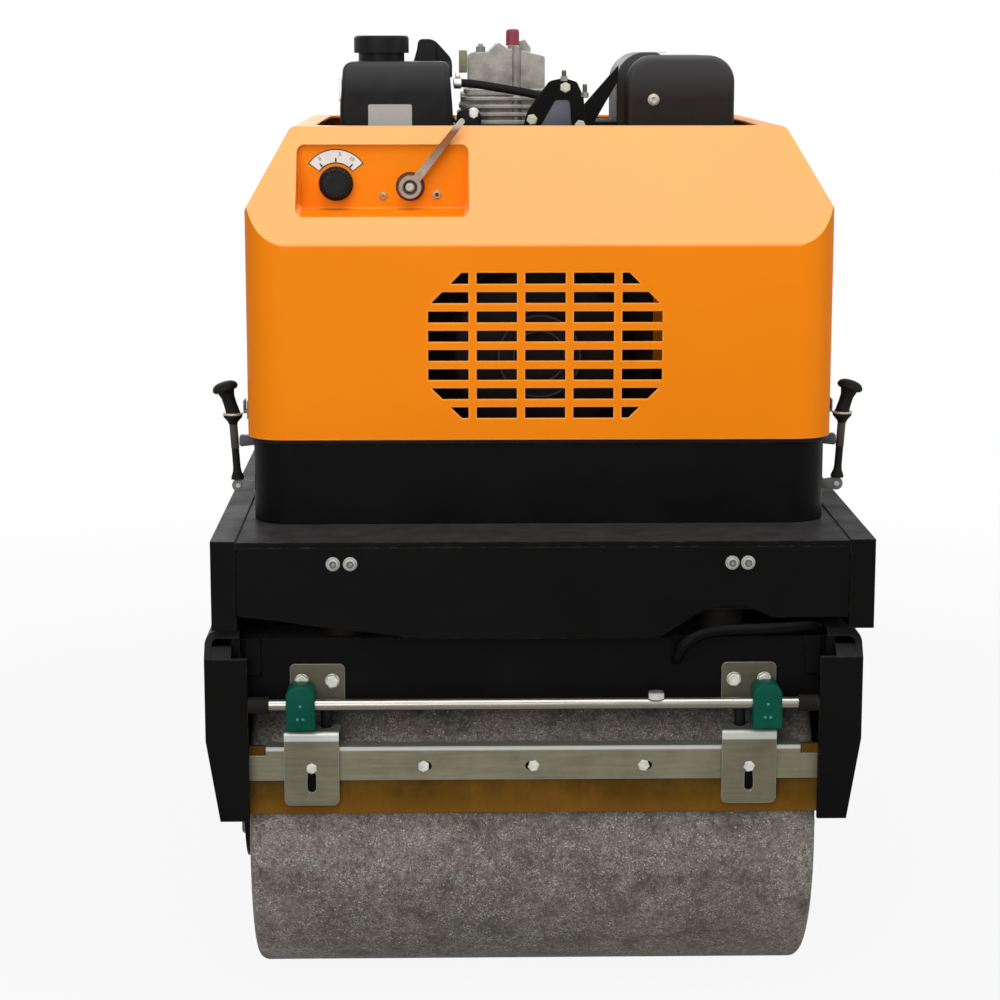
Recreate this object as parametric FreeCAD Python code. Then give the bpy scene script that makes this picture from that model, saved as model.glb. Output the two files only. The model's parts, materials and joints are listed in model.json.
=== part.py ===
import FreeCAD, Part
import math
import os

V = FreeCAD.Vector

# ------------------------------------------------------------------ clearances (mm)
running = 0.05
seat_gap = 0.3
moving_gap = 5.5
side_play = 1.0
rubber_travel = 5.0

# ------------------------------------------------------------------ drums
drum_width = 650.0
drum_radius = 200.0
drum_wall = 18.0
drum_edge_round = 12.0
drum_to_scraper = 13.0
disc_inset = 60.0
disc_thick = 12.0
hub_radius = 52.0
hub_length = 16.0
axle_radius = 30.0
stub_radius = 22.0
axle_flange_radius = 68.0
axle_flange_thick = 12.0
bearing_radius = 46.0
bearing_length = 28.0

# ------------------------------------------------------------------ lower frame
lower_shift = -10.0
side_step_in = 0.5
side_end_step = 2.0
beam_drop = 12.0
side_skin = 8.0
side_bend_down = 123.0
side_depth = 217.0
side_tuck = 15.0
side_bend_round = 14.0
side_ledge = 30.0
end_lip_drop = 29.0
end_lip_rise = 12.0
end_plate = 8.0
end_plate_overlap = 3.5
arm_thick = 10.0
arm_half_width = 75.0
arm_web_depth = 66.0
cap_setback = 20.0
beam_setback = 34.0
beam_height = 75.0
beam_wall = 8.0
beam_flange = 62.0
beam_ear_width = 16.0
beam_ear_height = 42.0
beam_ear_thick = 6.0
feed_radius = 6.0
feed_stand = 12.5
feed_left = 162.0
feed_knee = 186.0
feed_rise = 3.5
feed_middle = 225.0
feed_up = 10.5
feed_right_in = 30.0
feed_top_up = 14.0
feed_end_in = 9.0
feed_foot = 4.0
mount_radius = 26.0
mount_height = 37.0
mount_x = 215.0
mount_inset = 34.0

# ------------------------------------------------------------------ upper frame
frame_side_room = 45.0
frame_half_length = 492.0
frame_bottom = 458.0
frame_height = 101.0
frame_beam_width = 28.0
frame_plate = 8.0
frame_plate_recess = 1.5
plate_drop = 11.0
plate_slant_up = 16.0
plate_slant_run = 207.0
plate_end_up = 12.5
notch_start_in = 214.0
notch_rise_in = 164.0
notch_rise_up = 20.0
notch_peak_in = 138.0
notch_fall_in = 116.0
notch_up = 26.0
notch_end_in = 86.0
notch_round = 14.0
deck_thick = 6.0
shelf_depth = 110.0

# ------------------------------------------------------------------ lugs, eyes and handle
handle_arm_x = 170.0
handle_pin_radius = 10.0
handle_sleeve_half = 25.0
handle_sleeve_radius = 22.0
handle_lug_thick = 9.0
handle_lug_radius = 24.0
handle_pivot_out = 32.0
handle_pivot_up = 62.0
handle_length = 880.0
handle_rest_angle = 24.0
handle_tube_radius = 19.0
handle_cross_at = 250.0
handle_cross_radius = 16.0
handle_bar_radius = 15.0
handle_half = 310.0
grip_past_tube = 20.0
grip_cap = 4.0
grip_radius = 19.0
grip_rim_round = 3.0
console_back = 170.0
console_run = 140.0
console_up = 4.0
console_low_height = 50.0
console_high_height = 92.0
console_back_height = 78.0
console_ridge = 30.0
console_round = 8.0
console_side_gap = 3.0
console_strap_height = 16.0
travel_lever_x = 60.0
travel_lever_at = 0.6
travel_lever_length = 80.0
travel_lever_radius = 5.0
travel_ball_radius = 15.0
travel_boot_radius = 20.0
travel_boot_top = 8.0
travel_boot_height = 22.0
eye_x = 300.0
eye_hole_radius = 11.0
eye_thick = 10.0
eye_radius = 22.0
eye_reach = 26.0
eye_up = 47.0

# ------------------------------------------------------------------ tub and hood
hood_side_in = 33.0
hood_front = 388.0
hood_rear = 280.0
skirt_overhang = 6.0
tub_height = 92.5
tub_wall = 4.0
tub_floor = 5.0
tub_lip = 14.0
seal_height = 6.0
hood_wall = 3.0
hood_corner = 45.0
hood_height = 352.0
front_fold_up = 223.0
side_fold_up = 258.0
rim_inset_side = 51.0
rim_inset_end = 90.0
rim_flange = 26.0
rim_corner = 30.0
fold_round = 9.0
hinge_x = 200.0
hinge_out = 9.0
hinge_barrel = 40.0
hinge_pin_radius = 4.0
hinge_knuckle_radius = 7.5
hinge_ear_radius = 7.0
hinge_ear_thick = 5.0

# ------------------------------------------------------------------ sunk control panel
panel_side_in = 58.8
panel_width = 197.0
panel_low_up = 258.5
panel_high_up = 332.0
panel_back = 81.0
panel_round = 8.0
panel_fall = 0.10
knob_in = 44.3
knob_up = 287.0
knob_radius = 19.0
knob_length = 20.0
knob_stem_radius = 6.0
lever_in = 129.7
lever_up = 283.5
lever_boss_radius = 13.0
lever_hole_radius = 15.5
lever_run = 59.5
lever_rise = 74.5
lever_root_half = 5.4
lever_tip_half = 3.5
lever_socket_radius = 7.8
lever_socket_depth = 3.0

# ------------------------------------------------------------------ grille
grille_x = 5.0
grille_up = 108.0
grille_columns = 5
grille_rows = 8
slot_width = 45.7
slot_height = 12.6
slot_bar_x = 9.4
slot_bar_z = 9.3
grille_cut = 38.0

# ------------------------------------------------------------------ latches
latch_back = 82.0
strap_out = 26.5
strap_thick = 8.0
strap_width = 20.0
latch_lean = 16.0
latch_anchor_up = 33.5
latch_guide_down = 12.0
latch_collar_up = 8.0
latch_collar_radius = 12.0
latch_collar_thick = 4.5
latch_neck_radius = 7.2
latch_bell_radius = 10.6
latch_bell_height = 6.0
latch_neck_height = 35.0
latch_cap_radius = 14.2
latch_cap_rim = 5.0
latch_cap_height = 14.0
latch_funnel = 13.0
latch_foot_half = 14.0
latch_lug_half = 9.0

# ------------------------------------------------------------------ engine
crank_up = 188.5
crank_half_width = 136.0
crank_front = 280.0
crank_rear = 70.0
crank_top_up = 310.0
crank_round = 45.0
feet_half_width = 175.0
feet_front = 220.0
feet_rear = 40.0
feet_height = 30.0
barrel_left = -98.0
barrel_right = 60.0
barrel_front = 125.0
barrel_rear = 60.0
barrel_top_up = 417.0
barrel_round = 25.0
starter_radius = 112.0
starter_depth = 60.0
ring_outer = 50.0
ring_inner = 30.0
head_right = 30.0
head_front = 118.0
head_rear = 50.0
head_base_height = 27.0
fin_count = 4
fin_pitch = 9.5
fin_thick = 4.5
cover_left = -80.0
cover_right = 14.0
cover_front = 105.0
cover_rear = 30.0
cover_up = 65.0
cover_height = 47.0
boss_x = -20.6
boss_radius = 6.0
cap_x = -25.3
cap_radius = 8.1
cap_height = 20.0
cap_round = 4.0
cap_post_up = 12.3
boss_up = 11.5
cleaner_mouth_gap = 25.0
cleaner_front = 172.0
cleaner_rear = 20.0
cleaner_low_up = 405.0
cleaner_height = 118.0
cleaner_round = 20.0
cleaner_bulge = 5.0
cleaner_shoulder_up = 50.0
cleaner_right_bow = 150.0
cleaner_left_bow = 120.0
hump_width = 50.0
hump_drop = 20.0
hump_up = 27.0
hump_slope = 24.0
hump_front = 50.0
hump_rear = 55.0
snout_width = 29.0
snout_up = 20.0
snout_reach = 12.0
cleaner_neck_in = 49.0
cleaner_neck_y = -95.0
cleaner_neck_radius = 28.0
cleaner_cap_radius = 33.5
cleaner_cap_height = 18.0
cleaner_neck_height = 13.0
muffler_width = 131.0
muffler_mouth_gap = 19.0
muffler_front = 165.0
muffler_rear = 45.0
muffler_low_up = 400.0
muffler_height = 130.5
muffler_round = 32.0
guard_out = 10.0
guard_front = 140.0
guard_rear = 10.0
guard_round = 34.0
exhaust_up = 436.0
exhaust_radius = 16.0
bracket_thick = 10.0
bracket_clear = 0.3
hose_radius = 5.0
hose_knee_fall = 0.5
hose_bend_fall = 5.5
hose_drop_fall = 11.0
hose_end_fall = 17.0
hose_knee_x = -80.0
hose_bend_x = -45.0
hose_drop_x = -12.0
hose_end_x = 16.0
bracket_left = -19.0
bracket_foot_right = 63.0
bracket_right = 58.0
bracket_right_up = 55.0
bracket_neck = 50.0
bracket_neck_up = 72.0
bracket_peak = 35.0
bracket_peak_up = 77.0
bracket_shoulder = 17.0
bracket_shoulder_up = 73.0
bracket_elbow = -9.0
bracket_elbow_up = 38.0
brace_root = 54.0
brace_root_low = 16.0
brace_root_up = 40.0
brace_tip_low = 74.0
brace_tip_up = 92.0
guard_low_up = 42.0
guard_over = 45.0
guard_lift = 3.0

# ------------------------------------------------------------------ scraper and sprinkler
bracket_x = 244.5
bracket_half = 31.0
left_drop_shift = -7.0
bracket_plate = 4.0
bracket_top_down = 29.0
foot_depth = 20.0
ledge_down = 104.0
ledge_thick = 5.0
drop_length = 86.0
stud_radius = 5.0
stud_in = 9.0
scraper_out = 15.0
bar_thick = 4.0
bar_top_down = 123.0
bar_step = 10.0
bar_low_down = 162.0
bar_lip = 20.0
bar_step_in = 20.5
blade_thick = 7.0
blade_low_down = 202.5
blade_top_down = 138.0
blade_tab_gap = 1.0
pipe_out = 25.0
pipe_down = 71.0
pipe_radius = 6.5
pipe_inset = 22.0
socket_radius = 8.5
clamp_x = 262.5
clamp_low_round = 10.0
clamp_top_round = 16.0
clamp_side_round = 2.0
clamp_width = 33.0
clamp_front = 15.0
clamp_top_down = 47.0

# ------------------------------------------------------------------ derived places
half_drum = drum_width / 2
axle_z = drum_radius
frame_half_width = half_drum + frame_side_room
side_half_width = frame_half_width - side_step_in
arm_inner = half_drum + moving_gap
arm_outer = arm_inner + arm_thick
side_front = frame_half_length - side_end_step
side_top = frame_bottom - rubber_travel
beam_top = side_top - beam_drop
beam_front = frame_half_length - beam_setback
scraper_y = beam_front + scraper_out
axle_y = scraper_y - drum_to_scraper - drum_radius
shelf_low = beam_top + mount_height
deck_top = frame_bottom + frame_height
deck_plate_top = deck_top - frame_plate_recess
frame_inner = frame_half_width - frame_beam_width
handle_pivot_y = frame_half_length + handle_pivot_out
handle_pivot_z = frame_bottom + handle_pivot_up
hood_half_width = frame_half_width - hood_side_in
tub_half_width = hood_half_width - skirt_overhang
tub_front = hood_front - skirt_overhang
tub_rear = hood_rear - skirt_overhang
tub_bottom = deck_plate_top
tub_top = tub_bottom + tub_height
hood_bottom = tub_top + seal_height
hood_top = hood_bottom + hood_height
front_fold = hood_bottom + front_fold_up
side_fold = hood_bottom + side_fold_up
rim_half_width = hood_half_width - rim_inset_side
rim_front = hood_front - rim_inset_end
rim_rear = hood_rear - rim_inset_end
hinge_y = hood_rear + hinge_out
hinge_z = tub_top
panel_left = -hood_half_width + panel_side_in
panel_right = panel_left + panel_width
knob_x = panel_left + knob_in
lever_x = panel_left + lever_in
panel_y = -hood_front + panel_back
panel_low = hood_bottom + panel_low_up
panel_high = hood_bottom + panel_high_up
knob_z = hood_bottom + knob_up
lever_z = hood_bottom + lever_up
engine_floor = tub_bottom + tub_floor
crank_z = tub_bottom + crank_up
crank_top = tub_bottom + crank_top_up
barrel_top = tub_bottom + barrel_top_up
head_base = barrel_top + seat_gap
mouth_half_width = rim_half_width - rim_flange
cleaner_right = barrel_left - seat_gap
cleaner_left = -mouth_half_width + cleaner_mouth_gap
cleaner_neck_x = cleaner_left + cleaner_neck_in
muffler_right = mouth_half_width - muffler_mouth_gap
muffler_left = muffler_right - muffler_width
guard_left = muffler_left - guard_out
cleaner_low = tub_bottom + cleaner_low_up
cleaner_top = cleaner_low + cleaner_height
cover_base = head_base + cover_up
muffler_low = tub_bottom + muffler_low_up
muffler_top = muffler_low + muffler_height
engine_plate_back = -muffler_front - bracket_clear
latch_y = -hood_front + latch_back
strap_x = tub_half_width + strap_out
pipe_y = -(beam_front + pipe_out)
pipe_z = beam_top - pipe_down
ledge_z = beam_top - ledge_down
front_reach = max(frame_half_length, -pipe_y + clamp_front)
handle_lift = math.radians(handle_rest_angle)
rear_reach = handle_pivot_y + handle_length * math.cos(handle_lift) + grip_radius
row_shift_y = (front_reach - rear_reach) / 2

nodes = {}


# ------------------------------------------------------------------ small helpers
def box(x0, x1, y0, y1, z0, z1):
    return Part.makeBox(x1 - x0, y1 - y0, z1 - z0, V(x0, y0, z0))


def rod(p, q, r):
    a = V(*p)
    d = V(*q) - a
    return Part.makeCylinder(r, d.Length, a, d)


def rod_x(x0, x1, y, z, r):
    return rod((x0, y, z), (x1, y, z), r)


def rod_y(x, y0, y1, z, r):
    return rod((x, y0, z), (x, y1, z), r)


def rod_z(x, y, z0, z1, r):
    return rod((x, y, z0), (x, y, z1), r)


def outline(points, radii=None):
    """Closed wire through 3D points, with a tangent arc at each point that has a radius."""
    n = len(points)
    radii = radii or [0.0] * n
    ends = []
    edges = []
    for i in range(n):
        p = points[i]
        r = radii[i]
        if r <= 0:
            ends.append((p, p))
            continue
        a = (points[i - 1] - p).normalize()
        b = (points[(i + 1) % n] - p).normalize()
        half = math.acos(max(-1.0, min(1.0, a.dot(b)))) / 2
        reach = r / math.tan(half)
        mid = (a + b).normalize() * (r / math.sin(half) - r)
        ends.append((p + a * reach, p + b * reach))
        edges.append(Part.Arc(p + a * reach, p + mid, p + b * reach).toShape())
    for i in range(n):
        start = ends[i][1]
        stop = ends[(i + 1) % n][0]
        if (stop - start).Length > 1e-6:
            edges.append(Part.LineSegment(start, stop).toShape())
    return Part.Wire(Part.__sortEdges__(edges))


def swept(points, r):
    """A round pipe along a smooth curve through the points."""
    curve = Part.BSplineCurve()
    curve.interpolate(points)
    ring = Part.Wire([Part.makeCircle(r, points[0], curve.tangent(0)[0])])
    return Part.Wire([curve.toShape()]).makePipeShell([ring], True, True)


def turned(profile, radii, x, y, z, lean=0.0):
    """A profile of (radius, height) points turned about an upright axis that leans towards +X."""
    wire = outline([V(a, 0, b) for a, b in profile], radii)
    s = Part.Face(wire).revolve(V(0, 0, 0), V(0, 0, 1), 360)
    s.rotate(V(0, 0, 0), V(0, 1, 0), lean)
    s.translate(V(x, y, z))
    return s


def prism_x(yz, x0, x1, radii=None):
    return Part.Face(outline([V(x0, y, z) for y, z in yz], radii)).extrude(V(x1 - x0, 0, 0))


def prism_y(xz, y0, y1, radii=None):
    return Part.Face(outline([V(x, y0, z) for x, z in xz], radii)).extrude(V(0, y1 - y0, 0))


def prism_z(xy, z0, z1, radii=None):
    return Part.Face(outline([V(x, y, z0) for x, y in xy], radii)).extrude(V(0, 0, z1 - z0))


def round_box_z(x0, x1, y0, y1, z0, z1, r):
    return prism_z([(x0, y0), (x1, y0), (x1, y1), (x0, y1)], z0, z1, [r] * 4)


def round_box_y(x0, x1, y0, y1, z0, z1, r):
    return prism_y([(x0, z0), (x1, z0), (x1, z1), (x0, z1)], y0, y1, [r] * 4)


def fuse(shapes):
    out = shapes[0]
    if len(shapes) > 1:
        out = out.multiFuse(shapes[1:])
    return out.removeSplitter()


def mirror_x(s):
    return s.mirror(V(0, 0, 0), V(1, 0, 0))


def mirror_y(s):
    return s.mirror(V(0, 0, 0), V(0, 1, 0))


def on_side(shape, side):
    return shape if side > 0 else mirror_x(shape)


def inset(points, t):
    """Convex outline moved inward by t on every side."""
    lines = []
    n = len(points)
    for i in range(n):
        p = points[i]
        q = points[(i + 1) % n]
        d = math.hypot(q[0] - p[0], q[1] - p[1])
        a = (q[0] - p[0]) / d
        b = (q[1] - p[1]) / d
        lines.append((p[0] - b * t, p[1] + a * t, a, b))
    out = []
    for i in range(n):
        x1, y1, a1, b1 = lines[i - 1]
        x2, y2, a2, b2 = lines[i]
        k = ((x2 - x1) * b2 - (y2 - y1) * a2) / (a1 * b2 - b1 * a2)
        out.append((x1 + a1 * k, y1 + b1 * k))
    return out


def lower(shape):
    s = shape.copy()
    s.translate(V(lower_shift, 0, 0))
    return s


def ends_of(shape, axis, at):
    return [e for e in shape.Edges if abs(e.CenterOfMass.dot(axis) - at) < 0.01]


# ------------------------------------------------------------------ upper frame
def make_rear_eye(x):
    y = frame_half_length + eye_reach
    z = frame_bottom + eye_up
    x0 = x - eye_thick / 2
    x1 = x + eye_thick / 2
    root = frame_half_length - frame_plate_recess - 1.0
    disc = rod_x(x0, x1, y, z, eye_radius)
    web = box(x0, x1, root, y, z - eye_radius, z + eye_radius)
    hole = rod_x(x0 - 1.0, x1 + 1.0, y, z, eye_hole_radius)
    return disc.fuse(web).cut(hole)


def make_handle_lugs(side):
    near = handle_sleeve_half + side_play
    root = frame_half_length - frame_plate_recess - 1.0
    x = side * handle_arm_x
    y = handle_pivot_y
    z = handle_pivot_z
    parts = []
    for t in (-1, 1):
        a = x + t * near
        x0 = min(a, a + t * handle_lug_thick)
        x1 = x0 + handle_lug_thick
        parts.append(rod_x(x0, x1, y, z, handle_lug_radius))
        parts.append(box(x0, x1, root, y, z - handle_lug_radius, z + handle_lug_radius))
    reach = near + handle_lug_thick + 4.0
    parts.append(rod_x(x - reach, x + reach, y, z, handle_pin_radius))
    return parts


def make_upper_frame():
    """Two side beams joined by the deck plate, like a table."""
    parts = []
    for side in (-1, 1):
        x0 = min(side * frame_inner, side * frame_half_width)
        x1 = x0 + frame_beam_width
        parts.append(box(x0, x1, -frame_half_length, frame_half_length, frame_bottom, deck_top))
    face = frame_half_length - frame_plate_recess
    parts.append(box(-frame_inner, frame_inner, -face, face, deck_plate_top - deck_thick, deck_plate_top))
    return fuse(parts)


def make_front_plate():
    """The end plate: its lower edge hangs down in the middle, slants up to the left, and is notched on the right."""
    face = -frame_half_length + frame_plate_recess
    w = frame_inner
    top = deck_plate_top - deck_thick
    low = frame_bottom - plate_drop
    end = frame_bottom + plate_end_up
    edge = [(-w, top), (-w, frame_bottom + plate_slant_up), (-w + plate_slant_run, low), (w - notch_start_in, low)]
    edge += [(w - notch_rise_in, frame_bottom + notch_rise_up), (w - notch_peak_in, frame_bottom + notch_up)]
    edge += [(w - notch_fall_in, frame_bottom + notch_up), (w - notch_end_in, end), (w, end), (w, top)]
    r = notch_round
    return prism_y(edge, face, face + frame_plate, [0.0, 0.0, 0.0, 0.0, r, r, r, r, 0.0, 0.0])


def make_tow_eye():
    """A flat plate with an upright hole, at the middle of the rear end."""
    y = frame_half_length + eye_reach
    z0 = frame_bottom + eye_up - eye_thick / 2
    z1 = z0 + eye_thick
    root = frame_half_length - frame_plate_recess - 1.0
    disc = rod_z(0.0, y, z0, z1, eye_radius)
    web = box(-eye_radius, eye_radius, root, y, z0, z1)
    return disc.fuse(web).cut(rod_z(0.0, y, z0 - 1.0, z1 + 1.0, eye_hole_radius))


def make_rear_plate():
    parts = [mirror_y(make_front_plate()), make_tow_eye()]
    for side in (-1, 1):
        parts += make_handle_lugs(side)
        parts.append(make_rear_eye(side * eye_x))
    return fuse(parts)


def make_shelf():
    front = -frame_half_length + frame_plate_recess + frame_plate
    back = -frame_half_length + shelf_depth
    return box(-frame_inner, frame_inner, front, back, shelf_low, shelf_low + frame_plate)


# ------------------------------------------------------------------ tub
def tub_layer(t, z0, z1):
    w = tub_half_width - t
    return round_box_z(-w, w, -tub_front + t, tub_rear - t, z0, z1, hood_corner - t)


def make_hinge_seat(side):
    c = side * hinge_x
    near = hinge_barrel / 2 + side_play
    low = tub_top - 22.0
    high = tub_top - 3.0
    root = tub_rear - 1.0
    parts = []
    for t in (-1, 1):
        a = c + t * near
        x0 = min(a, a + t * hinge_ear_thick)
        x1 = x0 + hinge_ear_thick
        parts.append(rod_x(x0, x1, hinge_y, hinge_z, hinge_ear_radius))
        tip = hinge_y + hinge_ear_radius * 0.7
        parts.append(prism_x([(root, low), (root, high), (tip, high), (tip, high - 3.0)], x0, x1))
    reach = near + hinge_ear_thick + 3.0
    parts.append(rod_x(c - reach, c + reach, hinge_y, hinge_z, hinge_pin_radius))
    return parts


def make_tub():
    shell = tub_layer(0.0, tub_bottom, tub_top)
    shell = shell.cut(tub_layer(tub_wall, tub_bottom + tub_floor, tub_top + 1.0))
    lip = tub_layer(0.0, tub_top - tub_wall, tub_top)
    lip = lip.cut(tub_layer(tub_lip, tub_top - 2 * tub_wall, tub_top + 1.0))
    return fuse([shell, lip] + make_hinge_seat(-1) + make_hinge_seat(1))


# ------------------------------------------------------------------ hood
def hood_block(t):
    """The hood's outer form, moved inward by t: a rounded plan cut by two sloped profiles."""
    w = hood_half_width
    side_view = [(-hood_front, hood_bottom), (hood_rear, hood_bottom), (hood_rear, front_fold)]
    side_view += [(rim_rear, hood_top), (-rim_front, hood_top), (-hood_front, front_fold)]
    end_view = [(-w, hood_bottom), (w, hood_bottom), (w, side_fold)]
    end_view += [(rim_half_width, hood_top), (-rim_half_width, hood_top), (-w, side_fold)]
    below = hood_bottom - 10.0
    if t > 0:
        side_view = [(a, below if b < tub_top + 4 * seal_height else b) for a, b in inset(side_view, t)]
        end_view = [(a, below if b < tub_top + 4 * seal_height else b) for a, b in inset(end_view, t)]
    r = fold_round - t
    radii = [0.0, 0.0, r, r, r, r]
    plan = round_box_z(-w + t, w - t, -hood_front + t, hood_rear - t, below, hood_top + 10.0, hood_corner - t)
    along_x = prism_x(side_view, -w - 10.0, w + 10.0, radii)
    along_y = prism_y(end_view, -hood_front - 10.0, hood_rear + 10.0, radii)
    return plan.common(along_x).common(along_y)


def panel_pocket(t):
    """The sunk panel's hollow, grown by t, running out forward through the sloped face."""
    y = panel_y + t
    reach = panel_back + 50.0
    low = panel_low - t
    high = panel_high + t
    corners = [V(panel_left - t, y, low), V(panel_right + t, y, low), V(panel_right + t, y, high), V(panel_left - t, y, high)]
    face = Part.Face(outline(corners, [panel_round + t] * 4))
    return face.extrude(V(0, -reach, -panel_fall * reach))


def grille_slots():
    pitch_x = slot_width + slot_bar_x
    pitch_z = slot_height + slot_bar_z
    w = (grille_columns * pitch_x - slot_bar_x) / 2
    h = (grille_rows * pitch_z - slot_bar_z) / 2
    c = grille_cut
    zc = hood_bottom + grille_up
    y0 = -hood_front - 1.0
    y1 = -hood_front + hood_wall + 1.0
    corners = [(-w, -h + c), (-w + c, -h), (w - c, -h), (w, -h + c), (w, h - c), (w - c, h), (-w + c, h), (-w, h - c)]
    field = prism_y([(grille_x + a, zc + b) for a, b in corners], y0, y1)
    slots = []
    for i in range(grille_columns):
        for j in range(grille_rows):
            x = grille_x - w + i * pitch_x
            z = zc - h + j * pitch_z
            slots.append(box(x, x + slot_width, y0, y1, z, z + slot_height).common(field))
    return Part.makeCompound(slots)


def make_hood_knuckle(side):
    c = side * hinge_x
    x0 = c - hinge_barrel / 2
    x1 = c + hinge_barrel / 2
    leaf = 3.0
    leaf_top = hood_bottom + 30.0
    barrel = rod_x(x0, x1, hinge_y, hinge_z, hinge_knuckle_radius)
    plate = box(x0, x1, hood_rear, hood_rear + leaf, hood_bottom, leaf_top)
    reach = hinge_y - hood_rear
    neck = prism_x([(hood_rear, hood_bottom), (hood_rear + reach, hinge_z), (hinge_y + hinge_knuckle_radius * 0.7, hinge_z + hinge_knuckle_radius * 0.7), (hood_rear + leaf, hood_bottom + 14.0)], x0, x1)
    return [barrel, plate, neck]


def make_hood():
    outer = hood_block(0.0)
    pocket_wall = panel_pocket(hood_wall).common(outer)
    shell = outer.cut(hood_block(hood_wall)).fuse(pocket_wall)
    shell = shell.cut(panel_pocket(0.0))
    w = rim_half_width - rim_flange
    mouth = round_box_z(-w, w, -rim_front + rim_flange, rim_rear - rim_flange, hood_top - 2 * fold_round, hood_top + 1.0, rim_corner)
    shell = shell.cut(mouth).cut(grille_slots())
    back = panel_y + 2 * hood_wall
    shell = shell.cut(rod_y(lever_x, panel_y - 1.0, back, lever_z, lever_hole_radius))
    shell = shell.cut(rod_y(knob_x, panel_y - 1.0, back, knob_z, knob_stem_radius + seat_gap))
    hood = fuse([shell] + make_hood_knuckle(-1) + make_hood_knuckle(1))
    reach = hinge_x + hinge_barrel
    return hood.cut(rod_x(-reach, reach, hinge_y, hinge_z, hinge_pin_radius + running))


def make_knob():
    skirt = 5.0
    back = panel_y - seat_gap
    front = back - knob_length
    base = rod_y(knob_x, back - skirt, back, knob_z, knob_radius)
    body = rod_y(knob_x, front, back, knob_z, knob_radius - 1.5)
    body = body.makeFillet(3.5, ends_of(body, V(0, 1, 0), front))
    stem = rod_y(knob_x, back - 1.0, panel_y + hood_wall + 10.0, knob_z, knob_stem_radius)
    return fuse([base, body, stem])


def make_lever():
    arm_back = panel_y - 10.0
    arm_front = arm_back - 6.0
    washer = 4.0
    behind = panel_y + hood_wall + seat_gap
    boss = rod_y(lever_x, arm_front - 2.0, behind + washer, lever_z, lever_boss_radius)
    plate = rod_y(lever_x, behind, behind + washer, lever_z, lever_hole_radius + 5.0)
    root = lever_root_half
    tip = lever_tip_half
    d = V(lever_run, 0, lever_rise).normalize()
    n = V(d.z, 0, -d.x)
    a = V(lever_x, arm_front, lever_z)
    b = a + V(lever_run, 0, lever_rise)
    depth = V(0, arm_back - arm_front, 0)
    arm = Part.Face(outline([a + n * root, b + n * tip, b - n * tip, a - n * root])).extrude(depth)
    end = Part.makeCylinder(tip, depth.Length, b, depth)
    front = arm_front - 2.0
    socket = rod_y(lever_x, front - 1.0, front + lever_socket_depth, lever_z, lever_socket_radius)
    return fuse([boss, plate, arm, end]).cut(socket)


def make_hook(side):
    x0 = hood_half_width + seat_gap
    z0 = hood_bottom + 15.0
    half = 14.0
    lip_half = 10.0
    plate = box(x0, x0 + 3.0, latch_y - half, latch_y + half, z0, z0 + 21.0)
    shelf = box(x0, x0 + 7.5, latch_y - lip_half, latch_y + lip_half, z0 + 6.0, z0 + 9.0)
    rise = box(x0 + 5.5, x0 + 7.5, latch_y - lip_half, latch_y + lip_half, z0 + 6.0, z0 + 21.0)
    return on_side(fuse([plate, shelf, rise]), side)


def latch_handle(x, y, z):
    """The rubber handle that leans outwards: a bell on the collar, a neck and a mushroom cap."""
    bell = latch_bell_radius
    neck = latch_neck_radius
    rim = latch_cap_radius
    under = latch_neck_height
    top = under + latch_cap_height
    shoulder = under + latch_cap_rim
    profile = [(0.0, 0.0), (bell, 0.0), (bell, latch_bell_height), (neck, under * 0.8), (neck, under), (rim, under)]
    profile += [(rim, shoulder), (rim * 0.5, top), (0.0, top)]
    return turned(profile, [0.0, 0.0, 6.0, 6.0, 0.0, 2.0, 3.0, 5.0, 0.0], x, y, z, latch_lean)


def make_latch(side):
    x = strap_x
    y = latch_y
    wall = tub_half_width + seat_gap
    anchor_z = tub_bottom + latch_anchor_up
    guide_z = tub_top - latch_guide_down
    collar_z = hood_bottom + latch_collar_up
    half = strap_width / 2
    thin = strap_thick / 2
    lug_half = latch_lug_half
    lug_front = y - half - 5.0
    foot_half = latch_foot_half
    foot = box(wall, wall + 4.0, y - foot_half - 1.0, y + foot_half, anchor_z - foot_half, anchor_z + foot_half)
    lug = box(wall, x + 2.0, lug_front, lug_front + 4.0, anchor_z - lug_half, anchor_z + lug_half)
    tab = rod_y(x + 2.0, lug_front, lug_front + 4.0, anchor_z, lug_half)
    eyelet = rod_y(x, lug_front + 4.0, y + half + 1.0, anchor_z, 7.5)
    strap = round_box_z(x - thin, x + thin, y - half, y + half, anchor_z, collar_z, thin / 2)
    low = -latch_funnel
    bell = latch_bell_radius
    funnel = turned([(0.0, low), (thin + 1.0, low), (bell, 0.0), (0.0, 0.0)], None, x, y, collar_z)
    ring = latch_collar_radius
    collar = turned([(0.0, -0.5), (ring, -0.5), (ring, latch_collar_thick), (0.0, latch_collar_thick)], None, x, y, collar_z)
    grip = latch_handle(x, y, collar_z + latch_collar_thick / 2)
    guide = box(wall, x, y - 12.0, y + 12.0, guide_z - 2.0, guide_z + 2.0)
    guide_foot = box(wall, wall + 3.5, y - 12.0, y + 12.0, guide_z - 10.0, guide_z + 10.0)
    return on_side(fuse([foot, lug, tab, eyelet, strap, funnel, collar, grip, guide, guide_foot]), side)


# ------------------------------------------------------------------ engine
def make_engine_block():
    w = crank_half_width
    feet_low = engine_floor
    r = crank_round
    case = [(-w, feet_low + 20.0), (w, feet_low + 20.0), (w, crank_top), (-w, crank_top)]
    crank = prism_y(case, -crank_front, crank_rear, [0.0, 0.0, r, r])
    feet = box(-feet_half_width, feet_half_width, -feet_front, feet_rear, feet_low, feet_low + feet_height)
    root = crank_top - 8.0
    barrel = round_box_z(barrel_left, barrel_right, -barrel_front, barrel_rear, root, barrel_top, barrel_round)
    return fuse([crank, feet, barrel])


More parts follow.
